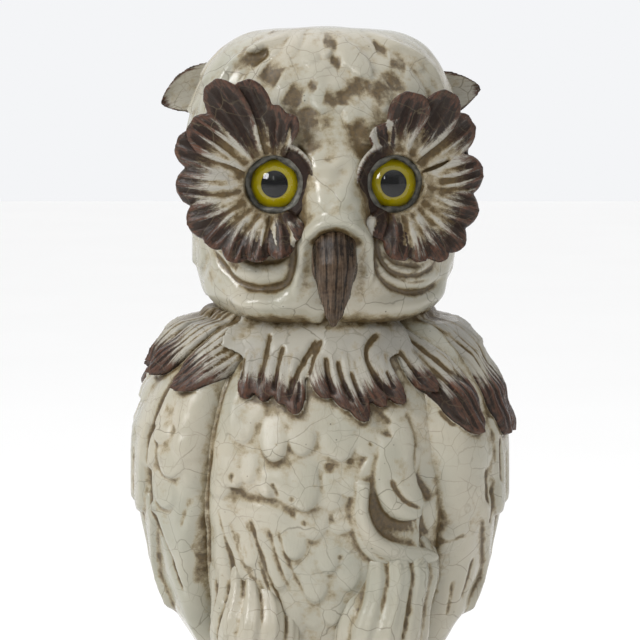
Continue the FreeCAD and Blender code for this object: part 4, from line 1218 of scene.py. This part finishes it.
# %% Toes and talons
toe_pieces = {}
for name, side in (("left", 1), ("right", -1)):
    x0 = side * 20
    corners, edges = [], []
    clay = Clay((x0 - 22, -86, 60), (x0 + 22, -28, 106), 0.8 * BROAD)
    clay.rod([(x0, EDGE + 18, STUMP_TOP + 6), (x0, EDGE + 6, STUMP_TOP + 6)], [12, 9.5], soft=2,
             squash=(1.15, 1, 0.7))
    for step in (-1, 0, 1):
        toe = [(x0 + 6 * step, EDGE + 14, STUMP_TOP + 4), (x0 + 8 * step, EDGE + 7, STUMP_TOP + 6.5),
               (x0 + 9.6 * step, EDGE - 1, STUMP_TOP + 7), (x0 + 10.4 * step, EDGE - 7.0, STUMP_TOP + 2.5),
               (x0 + 10.8 * step, EDGE - 9.5, STUMP_TOP - 5)]
        edges += [(len(corners) + k, len(corners) + k + 1) for k in range(4)]
        corners += [tuple(MM * c for c in p) for p in toe]
        clay.rod([toe[-2], toe[-1], (x0 + 11 * step, EDGE - 11.5, STUMP_TOP - 11),
                  (x0 + 11 * step, EDGE - 8.5, STUMP_TOP - 18)], [3.5, 4.0, 2.8, 0.9], soft=0.5)
    mesh = bpy.data.meshes.new(name + "_toe_lines")
    mesh.from_pydata(corners, edges, [])
    toe_pieces[name] = grow(name + "_toes", mesh, toe_tree,
                            {"Toe radius": 6.0 * MM, "Scute length": 4.2 * MM, "Taper": -0.32,
                             "Finish": toe_glaze})
    points, quads = clay.surface()
    marks = {"brown": smooth_step(STUMP_TOP - 2, STUMP_TOP - 7, points[:, 2]), "across": points[:, 0],
             "along": points[:, 2], "stain": np.full(len(points), 0.35)}
    pieces[name + "_foot"] = make_piece(name + "_talons", points, quads, marks)

# %% [markdown]
# ### Tail
# The tail is a fan of seven long feathers. One feather is shaped in clay with its root at the origin. The
# tree sets copies of it side by side, turns each one a little more, and drops the outer ones behind the
# middle one.

# %% The tail tree
fan_tree, sizes = new_tree("feather_fan", ["Count", "Spacing", "Fan", "Drop", "Shorten"])
spots = node(fan_tree, "GeometryNodePoints", {"Count": sizes["Count"]})
index = node(fan_tree, "GeometryNodeInputIndex").outputs["Index"]
middle = node(fan_tree, "ShaderNodeMath", {0: sizes["Count"], 1: -0.5, 2: 0.5}, operation="MULTIPLY_ADD")
step = node(fan_tree, "ShaderNodeMath", {0: index, 1: middle.outputs[0]}, operation="ADD").outputs[0]
away = node(fan_tree, "ShaderNodeMath", {0: step}, operation="ABSOLUTE").outputs[0]
x_at = node(fan_tree, "ShaderNodeMath", {0: step, 1: sizes["Spacing"]}, operation="MULTIPLY")
y_at = node(fan_tree, "ShaderNodeMath", {0: away, 1: sizes["Drop"]}, operation="MULTIPLY")
z_at = node(fan_tree, "ShaderNodeMath", {0: away, 1: sizes["Shorten"]}, operation="MULTIPLY")
place = node(fan_tree, "ShaderNodeCombineXYZ",
             {"X": x_at.outputs[0], "Y": y_at.outputs[0], "Z": z_at.outputs[0]})
spots = node(fan_tree, "GeometryNodeSetPosition",
             {"Geometry": spots.outputs[0], "Position": place.outputs[0]})
angle = node(fan_tree, "ShaderNodeMath", {0: step, 1: sizes["Fan"]}, operation="MULTIPLY")
twist = node(fan_tree, "ShaderNodeCombineXYZ", {"Y": angle.outputs[0]})
twist = node(fan_tree, "FunctionNodeEulerToRotation", {0: twist.outputs[0]})
fan = node(fan_tree, "GeometryNodeInstanceOnPoints",
           {"Points": spots.outputs["Geometry"], "Instance": sizes["Geometry"],
            "Rotation": twist.outputs[0]})
close_tree(fan_tree, fan.outputs["Instances"], sizes["Finish"])

# %% Tail
TAIL_ROOT, TAIL_TIP = 194.0, 33.0
clay = Clay((-12, -8, -14), (12, TAIL_ROOT - TAIL_TIP + 6, 22), BROAD)
quill = Leaf([(0, 0), (0, 80), (0, TAIL_ROOT - TAIL_TIP)], 8.6, 3.8, 0, 0.0, root=0.75, widest=0.86,
             cup=-1.0, barbs=0.4, gap=3.6)
quill.press(clay, lambda x, y: np.interp(y, [0, 42, 90, 134, 160],
                                         [0, 7, 11.5, 12.5, 12]).astype(np.float32))
clay.rod([(0, 4, 4), (0, 60, 12.5), (0, 120, 16.5), (0, 154, 15.5)], [1.6, 1.8, 1.5, 0.6], soft=1.5)
points, quads = clay.surface()
t, s, q = quill.place(points[:, 0], points[:, 1])
# Umber and painted shade in the hollows, and darker along the feather's edges.
deep = np.clip(-clay.read(points, blur(clay.d, 3)), -0.4, 1) + 0.9 * smooth_step(0.72, 1.0, np.abs(q))
feather = make_piece("tail_feather", points @ STAND_UP, quads,
                     {"brown": smooth_step(0.7, 0.95, t), "stain": deep, "across": s, "along": 40 * t})
mesh = feather.data
bpy.data.objects.remove(feather)
# The feathers hang down, so a turn below zero about +Y spreads their tips.
pieces["tail"] = grow("tail_feathers", mesh, fan_tree,
                      {"Count": 7.0, "Spacing": 3.5 * MM, "Fan": math.radians(-1.65), "Drop": -1.5 * MM,
                       "Shorten": 5.0 * MM, "Finish": feather_glaze})
pieces["tail"].data.transform(Matrix.Translation((0, 53 * MM, TAIL_ROOT * MM)))

# %% [markdown]
# ## Stump
# The bird stands on a sawn stump with bark. Bark splits along the grain into long plates, so its furrows
# follow the places where a stretched random field crosses zero.

# %% Bark
STUMP_ROUND = read_mm("stump_base")[1][0]
WALL, FLOOR, VENT_RADIUS, VENT_BEHIND = 7, 8, 8, 24
stump_rows = [(0.00, 0.97), (0.08, 1.00), (0.35, 0.95), (0.65, 0.93), (0.90, 0.95), (1.00, 0.90)]
stump_form = Form(0, STUMP_TOP, (STUMP_ROUND,) * 3, [(share, r, r, r) for share, r in stump_rows])
bark = Relief((-math.pi * STUMP_ROUND, math.pi * STUMP_ROUND), (-4, STUMP_TOP + 4), 0.0)


def stretched(cell, stretch, seed):
    """Random unevenness drawn out along the grain."""
    small = lumps((bark.h.shape[0], int(bark.h.shape[1] / stretch) + 2), cell, seed)
    return np.repeat(small, stretch, 1)[:, :bark.h.shape[1]]


plates = blur(stretched(13, 5, 31), 2) + 0.25 * stretched(6, 6, 35)
furrows = -4.2 * np.exp(-(plates / 0.14) ** 2)
bark.h += furrows + 1.2 * lumps(bark.h.shape, 34, 33) + 0.5 * stretched(5, 4, 34)
bark.groove([(-62, 46), (-50, 52), (-42, 46), (-48, 38), (-58, 40)], 2.5, -2.4, stain=0)
bark.h = blur(bark.h, 1)
print("bark runs from", round(float(bark.h.min()), 1), "to", round(float(bark.h.max()), 1), "mm")

# %% Stump in clay
clay = Clay((-72, -72, -3), (72, 72, STUMP_TOP + 4), 1.1 * BROAD)
_, x, y, z = clay.whole()
r = np.hypot(x, y)
wall = r - stump_form.reach(z)[0].astype(np.float32)
seam = smooth_step(math.pi * STUMP_ROUND, 0.93 * math.pi * STUMP_ROUND,
                   np.abs(STUMP_ROUND * np.arctan2(x, -y)))
outside = wall - bark.read(bark.h, STUMP_ROUND * np.arctan2(x, -y), z) * seam * smooth_step(0, 6, z)
rings = 0.5 * np.abs(np.sin(r / 2.6 + 0.4 * np.sin(3 * np.arctan2(x, -y)))) * smooth_step(62, 54, r)
outside = -melt(-outside, -(z - STUMP_TOP + rings), 4.0)
inside = np.maximum(wall + WALL, np.maximum(FLOOR - z, z - STUMP_TOP + WALL))
vent = np.maximum(np.hypot(x, y - VENT_BEHIND) - VENT_RADIUS, z - FLOOR - 4)
clay.d = np.maximum(carve(carve(outside, inside, 2), vent, 1.5), -z).astype(np.float32)
points, quads = clay.surface()
# Umber and painted shade in the bark's furrows and the sawn rings.
deep = np.clip(-clay.read(points, blur(clay.d, 3)) * 0.8, -0.6, 1)
marks = {"brown": np.zeros(len(points)), "across": STUMP_ROUND * np.arctan2(points[:, 0], -points[:, 1]),
         "along": points[:, 2] / 2, "stain": deep}
pieces["stump_base"] = make_piece("stump", points, quads, marks)
print("clay pieces:", len(pieces))

# %% [markdown]
# ## Finishes
# Every glazed piece shares one recipe: a milky tin glaze, brown oxide brushed on the tips, umber wiped into
# the hollows together with painted shade there and where pieces meet, and the fine net of cracks that an old
# glaze gets. The recipe reads four values from the mesh: how brown, how much umber and painted shade (mostly
# from how hollow a place is), and the run of each feather, across and along, so that the brush strokes
# follow the feather.

# %% Colours as hex codes
def linear(code):
    """An sRGB hex colour as the linear colour that Blender's nodes work in."""
    parts = [int(code[i:i + 2], 16) / 255 for i in (1, 3, 5)]
    return [p / 12.92 if p <= 0.04045 else ((p + 0.055) / 1.055) ** 2.4 for p in parts] + [1.0]

# %% Strokes, oxide and cracks
def brush_strokes(tree, across, along):
    """Fine strokes that follow the feather: about 1 mm wide and 10 mm long."""
    run = node(tree, "ShaderNodeMath", {0: along, 1: 0.12}, operation="MULTIPLY")
    fibre = node(tree, "ShaderNodeCombineXYZ", {"X": across, "Y": run.outputs[0]})
    strokes = node(tree, "ShaderNodeTexNoise", {"Vector": fibre.outputs[0], "Scale": 0.8, "Detail": 7.0,
                   "Roughness": 0.78}).outputs["Fac"]
    return node(tree, "ShaderNodeMapRange", {"Value": strokes, "From Min": 0.3, "From Max": 0.7}).outputs[0]


def brushed_oxide(tree, strokes, ragged, grain, brown, stain, dark, rubbed):
    """Brown oxide, thick in the grooves and rubbed thin on the ridges: how much of it, and its colour."""
    ridge = node(tree, "ShaderNodeClamp", {"Value": stain, "Min": -0.12, "Max": 0.35}).outputs[0]
    edge = node(tree, "ShaderNodeMath", {0: strokes, 1: 0.85, 2: brown}, operation="MULTIPLY_ADD")
    edge = node(tree, "ShaderNodeMath", {0: ragged, 1: 0.6, 2: edge.outputs[0]}, operation="MULTIPLY_ADD")
    edge = node(tree, "ShaderNodeMath", {0: ridge, 1: 0.45, 2: edge.outputs[0]}, operation="MULTIPLY_ADD")
    painted = node(tree, "ShaderNodeMapRange", {"Value": edge.outputs[0], "From Min": 0.9, "From Max": 1.5,
                   "To Max": 0.96}, interpolation_type="SMOOTHSTEP").outputs[0]
    some_brown = node(tree, "ShaderNodeMath", {0: brown, 1: 4.0}, operation="MULTIPLY",
                      use_clamp=True).outputs[0]
    painted = node(tree, "ShaderNodeMath", {0: painted, 1: some_brown}, operation="MULTIPLY").outputs[0]
    rub = node(tree, "ShaderNodeMath", {0: grain, 1: 0.7, 2: strokes}, operation="MULTIPLY_ADD")
    rub = node(tree, "ShaderNodeMath", {0: ridge, 1: -0.9, 2: rub.outputs[0]}, operation="MULTIPLY_ADD")
    rub = node(tree, "ShaderNodeMath", {0: brown, 1: -0.25, 2: rub.outputs[0]}, operation="MULTIPLY_ADD")
    rub = node(tree, "ShaderNodeMapRange", {"Value": rub.outputs[0], "From Min": 0.45,
                                            "From Max": 1.2}).outputs[0]
    oxide = node(tree, "ShaderNodeMix", {0: rub, 6: linear(dark), 7: linear(rubbed)},
                 data_type="RGBA").outputs[2]
    return painted, oxide


def crackle(tree, place, crazed):
    """Crazing, as the walls between random cells 19 mm and 9 mm across, and the noise that bends them."""
    # Real cracks are 0.1 mm wide.  These are drawn 0.3 mm wide so that they show.
    bend = node(tree, "ShaderNodeTexNoise", {"Vector": place, "Scale": 1 / 0.02, "Detail": 4.0})
    bent = node(tree, "ShaderNodeVectorMath", {0: bend.outputs["Color"], 1: (0.009, 0.009, 0.009), 2: place},
                operation="MULTIPLY_ADD").outputs[0]
    heavy = node(tree, "ShaderNodeTexVoronoi", {"Vector": bent, "Scale": 1 / 0.019},
                 feature="DISTANCE_TO_EDGE")
    heavy = node(tree, "ShaderNodeMapRange",
                 {"Value": heavy.outputs["Distance"], "From Min": 0.002, "From Max": 0.015,
                  "To Min": crazed, "To Max": 0.0}).outputs[0]
    light = node(tree, "ShaderNodeTexVoronoi", {"Vector": bent, "Scale": 1 / 0.009},
                 feature="DISTANCE_TO_EDGE")
    light = node(tree, "ShaderNodeMapRange",
                 {"Value": light.outputs["Distance"], "From Min": 0.004, "From Max": 0.03,
                  "To Min": 0.6 * crazed, "To Max": 0.0}).outputs[0]
    patchy = node(tree, "ShaderNodeTexNoise",
                  {"Vector": place, "Scale": 1 / 0.028, "Detail": 3.0}).outputs["Fac"]
    some = node(tree, "ShaderNodeMapRange", {"Value": patchy, "From Min": 0.45, "From Max": 0.62}).outputs[0]
    light = node(tree, "ShaderNodeMath", {0: light, 1: some}, operation="MULTIPLY").outputs[0]
    most = node(tree, "ShaderNodeMapRange", {"Value": patchy, "From Min": 0.6, "From Max": 0.4,
                                             "To Min": 0.15}).outputs[0]
    heavy = node(tree, "ShaderNodeMath", {0: heavy, 1: most}, operation="MULTIPLY").outputs[0]
    cracks = node(tree, "ShaderNodeMath", {0: heavy, 1: light}, operation="MAXIMUM").outputs[0]
    return cracks, bend


# %% The glaze recipe
def glazed(made, pale, grey, dark, rubbed, umber_and_shade_colour, lines=0.2, rough=0.17, reach=0.0, crazed=0.6):
    """Fills a material with the glaze recipe.  In a Mix node, 0 is the factor, 6 and 7 the colours."""
    made.use_nodes = True
    tree = made.node_tree
    shader = tree.nodes["Principled BSDF"]
    place = node(tree, "ShaderNodeTexCoord").outputs["Object"]
    brown, stain, across, along = [node(tree, "ShaderNodeAttribute", attribute_name=label).outputs["Fac"]
                                   for label in ("brown", "stain", "across", "along")]
    # Clouds in the glaze, about 50 mm across.
    clouds = node(tree, "ShaderNodeTexNoise",
                  {"Vector": place, "Scale": 1 / 0.05, "Detail": 4.0}).outputs["Fac"]
    clouds = node(tree, "ShaderNodeMapRange",
                  {"Value": clouds, "From Min": 0.35, "From Max": 0.65}).outputs[0]
    colour = node(tree, "ShaderNodeMix", {0: clouds, 6: linear(pale), 7: linear(grey)},
                  data_type="RGBA").outputs[2]
    # Ragged edges to the umber and painted shade, as where a stain was wiped off, in grains from 6 mm down,
    # thicker in some places than others.
    ragged = node(tree, "ShaderNodeTexNoise",
                  {"Vector": place, "Scale": 1 / 0.006, "Detail": 8.0, "Roughness": 0.7})
    uneven = node(tree, "ShaderNodeTexNoise",
                  {"Vector": place, "Scale": 1 / 0.022, "Detail": 3.0}).outputs["Fac"]
    wiped = node(tree, "ShaderNodeMath", {0: ragged.outputs["Fac"], 1: 2.3, 2: stain},
                 operation="MULTIPLY_ADD")
    wiped = node(tree, "ShaderNodeMath", {0: uneven, 1: 1.0, 2: wiped.outputs[0]}, operation="MULTIPLY_ADD")
    # The halo is the rim of the wiped umber and partly painted shade round the hollows.
    halo = node(tree, "ShaderNodeMapRange",
                {"Value": wiped.outputs[0], "From Min": 1.62 - reach, "From Max": 2.3 - reach,
                 "To Max": 0.62}, interpolation_type="SMOOTHSTEP").outputs[0]
    colour = node(tree, "ShaderNodeMix", {0: halo, 6: colour, 7: linear("#88764e")},
                  data_type="RGBA").outputs[2]
    strokes = brush_strokes(tree, across, along)
    drawn = node(tree, "ShaderNodeMapRange",
                 {"Value": strokes, "From Min": 0.5, "From Max": 1.0, "To Max": lines},
                 interpolation_type="SMOOTHSTEP").outputs[0]
    colour = node(tree, "ShaderNodeMix", {0: drawn, 6: colour, 7: linear("#5d4c3b")},
                  data_type="RGBA").outputs[2]
    # Umber left in the hollows, and painted shade there and wherever the mesh marks it.
    soiled_and_shaded = node(tree, "ShaderNodeMapRange",
                  {"Value": wiped.outputs[0], "From Min": 2.0 - reach, "From Max": 2.6 - reach,
                   "To Max": 0.9}, interpolation_type="SMOOTHSTEP").outputs[0]
    grain = node(tree, "ShaderNodeTexNoise", {"Vector": place, "Scale": 1 / 0.0018,
                                              "Detail": 3.0}).outputs["Fac"]
    earth = node(tree, "ShaderNodeMapRange", {"Value": grain, "From Min": 0.35, "From Max": 0.65}).outputs[0]
    earth = node(tree, "ShaderNodeMix", {0: earth, 6: linear(umber_and_shade_colour), 7: linear("#3c2d14")},
                 data_type="RGBA").outputs[2]
    colour = node(tree, "ShaderNodeMix", {0: soiled_and_shaded, 6: colour, 7: earth}, data_type="RGBA").outputs[2]
    painted, oxide = brushed_oxide(tree, strokes, ragged.outputs["Fac"], grain, brown, stain, dark, rubbed)
    colour = node(tree, "ShaderNodeMix", {0: painted, 6: colour, 7: oxide}, data_type="RGBA").outputs[2]
    cracks, bend = crackle(tree, place, crazed)
    colour = node(tree, "ShaderNodeMix", {0: cracks, 6: colour, 7: linear("#5d5340")},
                  data_type="RGBA").outputs[2]
    # Iron specks, 0.5 mm across, in loose swarms.
    specks = node(tree, "ShaderNodeTexVoronoi", {"Vector": place, "Scale": 1 / 0.0055}).outputs["Distance"]
    specks = node(tree, "ShaderNodeMapRange",
                  {"Value": specks, "From Min": 0.04, "From Max": 0.09, "To Min": 0.8,
                   "To Max": 0.0}).outputs[0]
    swarm = node(tree, "ShaderNodeMapRange", {"Value": bend.outputs["Fac"], "From Min": 0.5,
                                              "From Max": 0.62}).outputs[0]
    specks = node(tree, "ShaderNodeMath", {0: specks, 1: swarm}, operation="MULTIPLY").outputs[0]
    colour = node(tree, "ShaderNodeMix", {0: specks, 6: colour, 7: linear("#352c20")},
                  data_type="RGBA").outputs[2]
    tree.links.new(colour, shader.inputs["Base Color"])
    dull = node(tree, "ShaderNodeMath", {0: soiled_and_shaded, 1: 0.3, 2: rough}, operation="MULTIPLY_ADD").outputs[0]
    dull = node(tree, "ShaderNodeMath", {0: painted, 1: 0.1, 2: dull}, operation="MULTIPLY_ADD").outputs[0]
    tree.links.new(dull, shader.inputs["Roughness"])
    high = node(tree, "ShaderNodeMath", {0: cracks, 1: -0.5, 2: ragged.outputs["Fac"]},
                operation="MULTIPLY_ADD")
    high = node(tree, "ShaderNodeMath", {0: strokes, 1: 0.5, 2: high.outputs[0]}, operation="MULTIPLY_ADD")
    bump = node(tree, "ShaderNodeBump", {"Height": high.outputs[0], "Strength": 0.3, "Distance": 0.0006})
    tree.links.new(bump.outputs["Normal"], shader.inputs["Normal"])
    shader.inputs["IOR"].default_value = 1.5
    return made

# %% Five glazes
body_glaze = glazed(bpy.data.materials.new("body_glaze_tin_white"),
                    "#aea796", "#9c9a8b", "#2c1d16", "#65503f", "#56421f", lines=0.12)
glazed(feather_glaze, "#aba697", "#96938a", "#190903", "#5e3c2c", "#513e1e", lines=0.6)
glazed(toe_glaze, "#8d7c5e", "#776549", "#33261f", "#6b5646", "#4a3a24", lines=0.3, crazed=0.3)
beak_glaze = glazed(bpy.data.materials.new("beak_glaze_manganese"),
                    "#6c5c4a", "#453527", "#120803", "#665443", "#1a110a", lines=0.6, crazed=0.1)
stump_glaze = glazed(bpy.data.materials.new("bark_glaze_umber"),
                     "#a39779", "#83765a", "#4a3a28", "#7d6a48", "#4a3b25",
                     lines=0.35, reach=0.3, crazed=0.3)
# The brushed brown lies thin and drinks up the shine.
for made in (feather_glaze, beak_glaze):
    made.node_tree.nodes["Principled BSDF"].inputs["Specular IOR Level"].default_value = 0.22
print("glazes:", [made.name for made in (body_glaze, feather_glaze, toe_glaze, beak_glaze, stump_glaze)])

# %% [markdown]
# ### Eyes
# The eyes are bought glass domes, painted on the back: a black pupil and a yellow ring. They are bedded in
# grey putty. The dome is solid clear glass, so the colour seems to fill it.

# %% Eye materials
def plain(name, colour, **values):
    made = bpy.data.materials.new(name)
    made.use_nodes = True
    shader = made.node_tree.nodes["Principled BSDF"]
    shader.inputs["Base Color"].default_value = linear(colour)
    for socket, value in values.items():
        shader.inputs[socket.replace("_", " ")].default_value = value
    return made, made.node_tree, shader


glass, tree, shader = plain("soda_glass_clear", "#ffffff", Roughness=0.015, IOR=1.5, Transmission_Weight=1.0,
                            Specular_IOR_Level=0.4)
place = node(tree, "ShaderNodeTexCoord").outputs["Object"]
tint = node(tree, "ShaderNodeTexNoise", {"Vector": place, "Scale": 1 / 0.02}).outputs["Fac"]
shade = node(tree, "ShaderNodeMix", {0: tint, 6: linear("#fdfefc"), 7: linear("#f6f9f3")}, data_type="RGBA")
tree.links.new(shade.outputs[2], shader.inputs["Base Color"])
# Paint under glass has no skin of air on it, so it has no shine of its own.
pupil, tree, shader = plain("back_painted_pupil_black", "#040404", Roughness=0.6, Specular_IOR_Level=0.0)
place = node(tree, "ShaderNodeTexCoord").outputs["Object"]
grain = node(tree, "ShaderNodeTexNoise", {"Vector": place, "Scale": 1 / 0.003}).outputs["Fac"]
shade = node(tree, "ShaderNodeMix", {0: grain, 6: linear("#010101"), 7: linear("#060605")}, data_type="RGBA")
tree.links.new(shade.outputs[2], shader.inputs["Base Color"])
putty, tree, shader = plain("linseed_putty_grey", "#4d4b41", Roughness=0.45)
place = node(tree, "ShaderNodeTexCoord").outputs["Object"]
grain = node(tree, "ShaderNodeTexNoise", {"Vector": place, "Scale": 1 / 0.003, "Detail": 6.0}).outputs["Fac"]
grain = node(tree, "ShaderNodeMapRange", {"Value": grain, "From Min": 0.35, "From Max": 0.65}).outputs[0]
shade = node(tree, "ShaderNodeMix", {0: grain, 6: linear("#2a2820"), 7: linear("#5c5a50")}, data_type="RGBA")
tree.links.new(shade.outputs[2], shader.inputs["Base Color"])
bump = node(tree, "ShaderNodeBump", {"Height": grain, "Strength": 0.4, "Distance": 0.0005})
tree.links.new(bump.outputs["Normal"], shader.inputs["Normal"])


def iris_paint(name, centre):
    """Yellow enamel on the back of the glass: paler near the pupil and dark at the rim."""
    made, tree, shader = plain(name, "#b5a300", Roughness=0.6, Specular_IOR_Level=0.0)
    place = node(tree, "ShaderNodeTexCoord").outputs["Object"]
    out = node(tree, "ShaderNodeVectorMath", {0: place, 1: tuple(centre)},
               operation="DISTANCE").outputs["Value"]
    share = node(tree, "ShaderNodeMapRange", {"Value": out, "From Min": 0.0050,
                                              "From Max": 0.0112}).outputs[0]
    mottle = node(tree, "ShaderNodeTexNoise",
                  {"Vector": place, "Scale": 1 / 0.0025, "Detail": 3.0}).outputs["Fac"]
    share = node(tree, "ShaderNodeMath", {0: mottle, 1: 0.18, 2: share}, operation="MULTIPLY_ADD").outputs[0]
    ramp = node(tree, "ShaderNodeValToRGB", {"Fac": share})
    stops = ramp.color_ramp.elements
    stops[0].position, stops[0].color = 0.08, linear("#8d7f00")
    stops[1].position, stops[1].color = 1.06, linear("#4d4300")
    for at, code in ((0.22, "#b3a204"), (0.62, "#a99800"), (0.88, "#857500")):
        stops.new(at).color = linear(code)
    tree.links.new(ramp.outputs["Color"], shader.inputs["Base Color"])
    return made


irises = {name + "_eye_iris": iris_paint(name + "_iris_enamel_yellow", eye_middles[name])
          for name in eye_middles}
print("eye finishes:", [made.name for made in (glass, pupil, putty, *irises.values())])

# %% Finishes on the pieces
BRUSHED = ["bib_feathers", "tail"] + [f"{side}_{part}" for side in ("left", "right")
                                      for part in ("mantle_feathers", "face_disc", "ear_tuft")]
finish = {name: body_glaze for name in pieces} | {name: feather_glaze for name in BRUSHED}
finish |= irises | {f"{side}_eye_{part}": made for side in ("left", "right")
                    for part, made in (("glass", glass), ("pupil", pupil), ("putty", putty))}
finish |= {"beak": beak_glaze, "stump_base": stump_glaze, "left_foot": toe_glaze, "right_foot": toe_glaze}
slots = {name: "body_glaze" for name in pieces}
slots |= {f"{side}_eye_{part}": slot for side in ("left", "right") for part, slot in
          (("glass", "eye_glass"), ("pupil", "pupil_enamel"), ("iris", "iris_enamel"),
           ("putty", "eye_putty"))}
slots |= {"beak": "beak_glaze", "stump_base": "stump_glaze", "left_foot": "foot_glaze",
          "right_foot": "foot_glaze"}
standing_for = list(pieces.items()) + [(name + "_foot", piece) for name, piece in toe_pieces.items()]
for name, piece in standing_for:
    piece.data.materials.clear()
    piece.data.materials.append(finish[name])
    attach(piece, "root")
    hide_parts(name)
print("finished pieces:", len(standing_for))

# %% [markdown]
# ## Studio
# A plain pale floor runs far back. Two large soft lights stand in for a studio's softboxes, high on the left
# and low on the right, a thin strip of light draws a bright line on the glaze, and a bright room fills the
# shadows.

# %% Floor, room and lights
bpy.ops.mesh.primitive_plane_add(size=12)
floor = bpy.context.object
floor.name = "studio_floor"
floor_paint, tree, shader = plain("floor_matt_white", "#f6f5f3", Roughness=0.7)
place = node(tree, "ShaderNodeTexCoord").outputs["Object"]
grain = node(tree, "ShaderNodeTexNoise", {"Vector": place, "Scale": 1 / 0.3}).outputs["Fac"]
shade = node(tree, "ShaderNodeMix", {0: grain, 6: linear("#f5f4f2"), 7: linear("#f8f7f5")}, data_type="RGBA")
tree.links.new(shade.outputs[2], shader.inputs["Base Color"])
floor.data.materials.append(floor_paint)

room = bpy.data.worlds.new("studio_room")
bpy.context.scene.world = room
room.use_nodes = True
sky = room.node_tree.nodes["Background"]
sky.inputs["Color"].default_value = linear("#f4f5f7")
# The backdrop, in the +Y direction, and the ceiling are lit more than the rest of the room.
toward = node(room.node_tree, "ShaderNodeSeparateXYZ",
              {0: node(room.node_tree, "ShaderNodeTexCoord").outputs["Generated"]})
backdrop = node(room.node_tree, "ShaderNodeMapRange",
                {"Value": toward.outputs["Y"], "From Min": 0.0, "From Max": 0.8, "To Min": 0.42,
                 "To Max": 1.0}, interpolation_type="SMOOTHSTEP").outputs[0]
ceiling = node(room.node_tree, "ShaderNodeMapRange",
               {"Value": toward.outputs["Z"], "From Min": 0.3, "From Max": 0.9, "To Max": 0.85},
               interpolation_type="SMOOTHSTEP").outputs[0]
lit = node(room.node_tree, "ShaderNodeMath", {0: backdrop, 1: ceiling}, operation="ADD").outputs[0]
room.node_tree.links.new(lit, sky.inputs["Strength"])


def softbox(name, place, target, width, height, watts):
    light = bpy.data.lights.new(name, "AREA")
    light.shape, light.size, light.size_y, light.energy = "RECTANGLE", width, height, watts
    lamp = bpy.data.objects.new(name, light)
    lamp.location = place
    lamp.rotation_euler = (Vector(target) - Vector(place)).to_track_quat("-Z", "Y").to_euler()
    bpy.context.scene.collection.objects.link(lamp)


softbox("key_softbox", (-1.1, -0.95, 1.15), (0, 0, 0.3), 0.6, 0.6, 17)
softbox("fill_softbox", (1.3, -0.9, 0.6), (0, 0, 0.28), 0.8, 0.8, 0.8)
softbox("strip_light", (-0.35, -1.3, 1.0), (0, 0, 0.33), 0.035, 0.35, 0.9)

print("lights:", [light.name for light in bpy.data.lights])

# %% Camera
bpy.context.scene.view_settings.view_transform = "Standard"
camera = bpy.data.cameras.new("camera")
camera.sensor_width, camera.lens = 36.0, 140.6
viewer = bpy.data.objects.new("camera", camera)
aim, tilt = Vector((0, 0, 0.284)), math.radians(6)
viewer.location = aim + 1.25 * Vector((0, -math.cos(tilt), math.sin(tilt)))
viewer.rotation_euler = (aim - viewer.location).to_track_quat("-Z", "Y").to_euler()
bpy.context.scene.collection.objects.link(viewer)
bpy.context.scene.camera = viewer
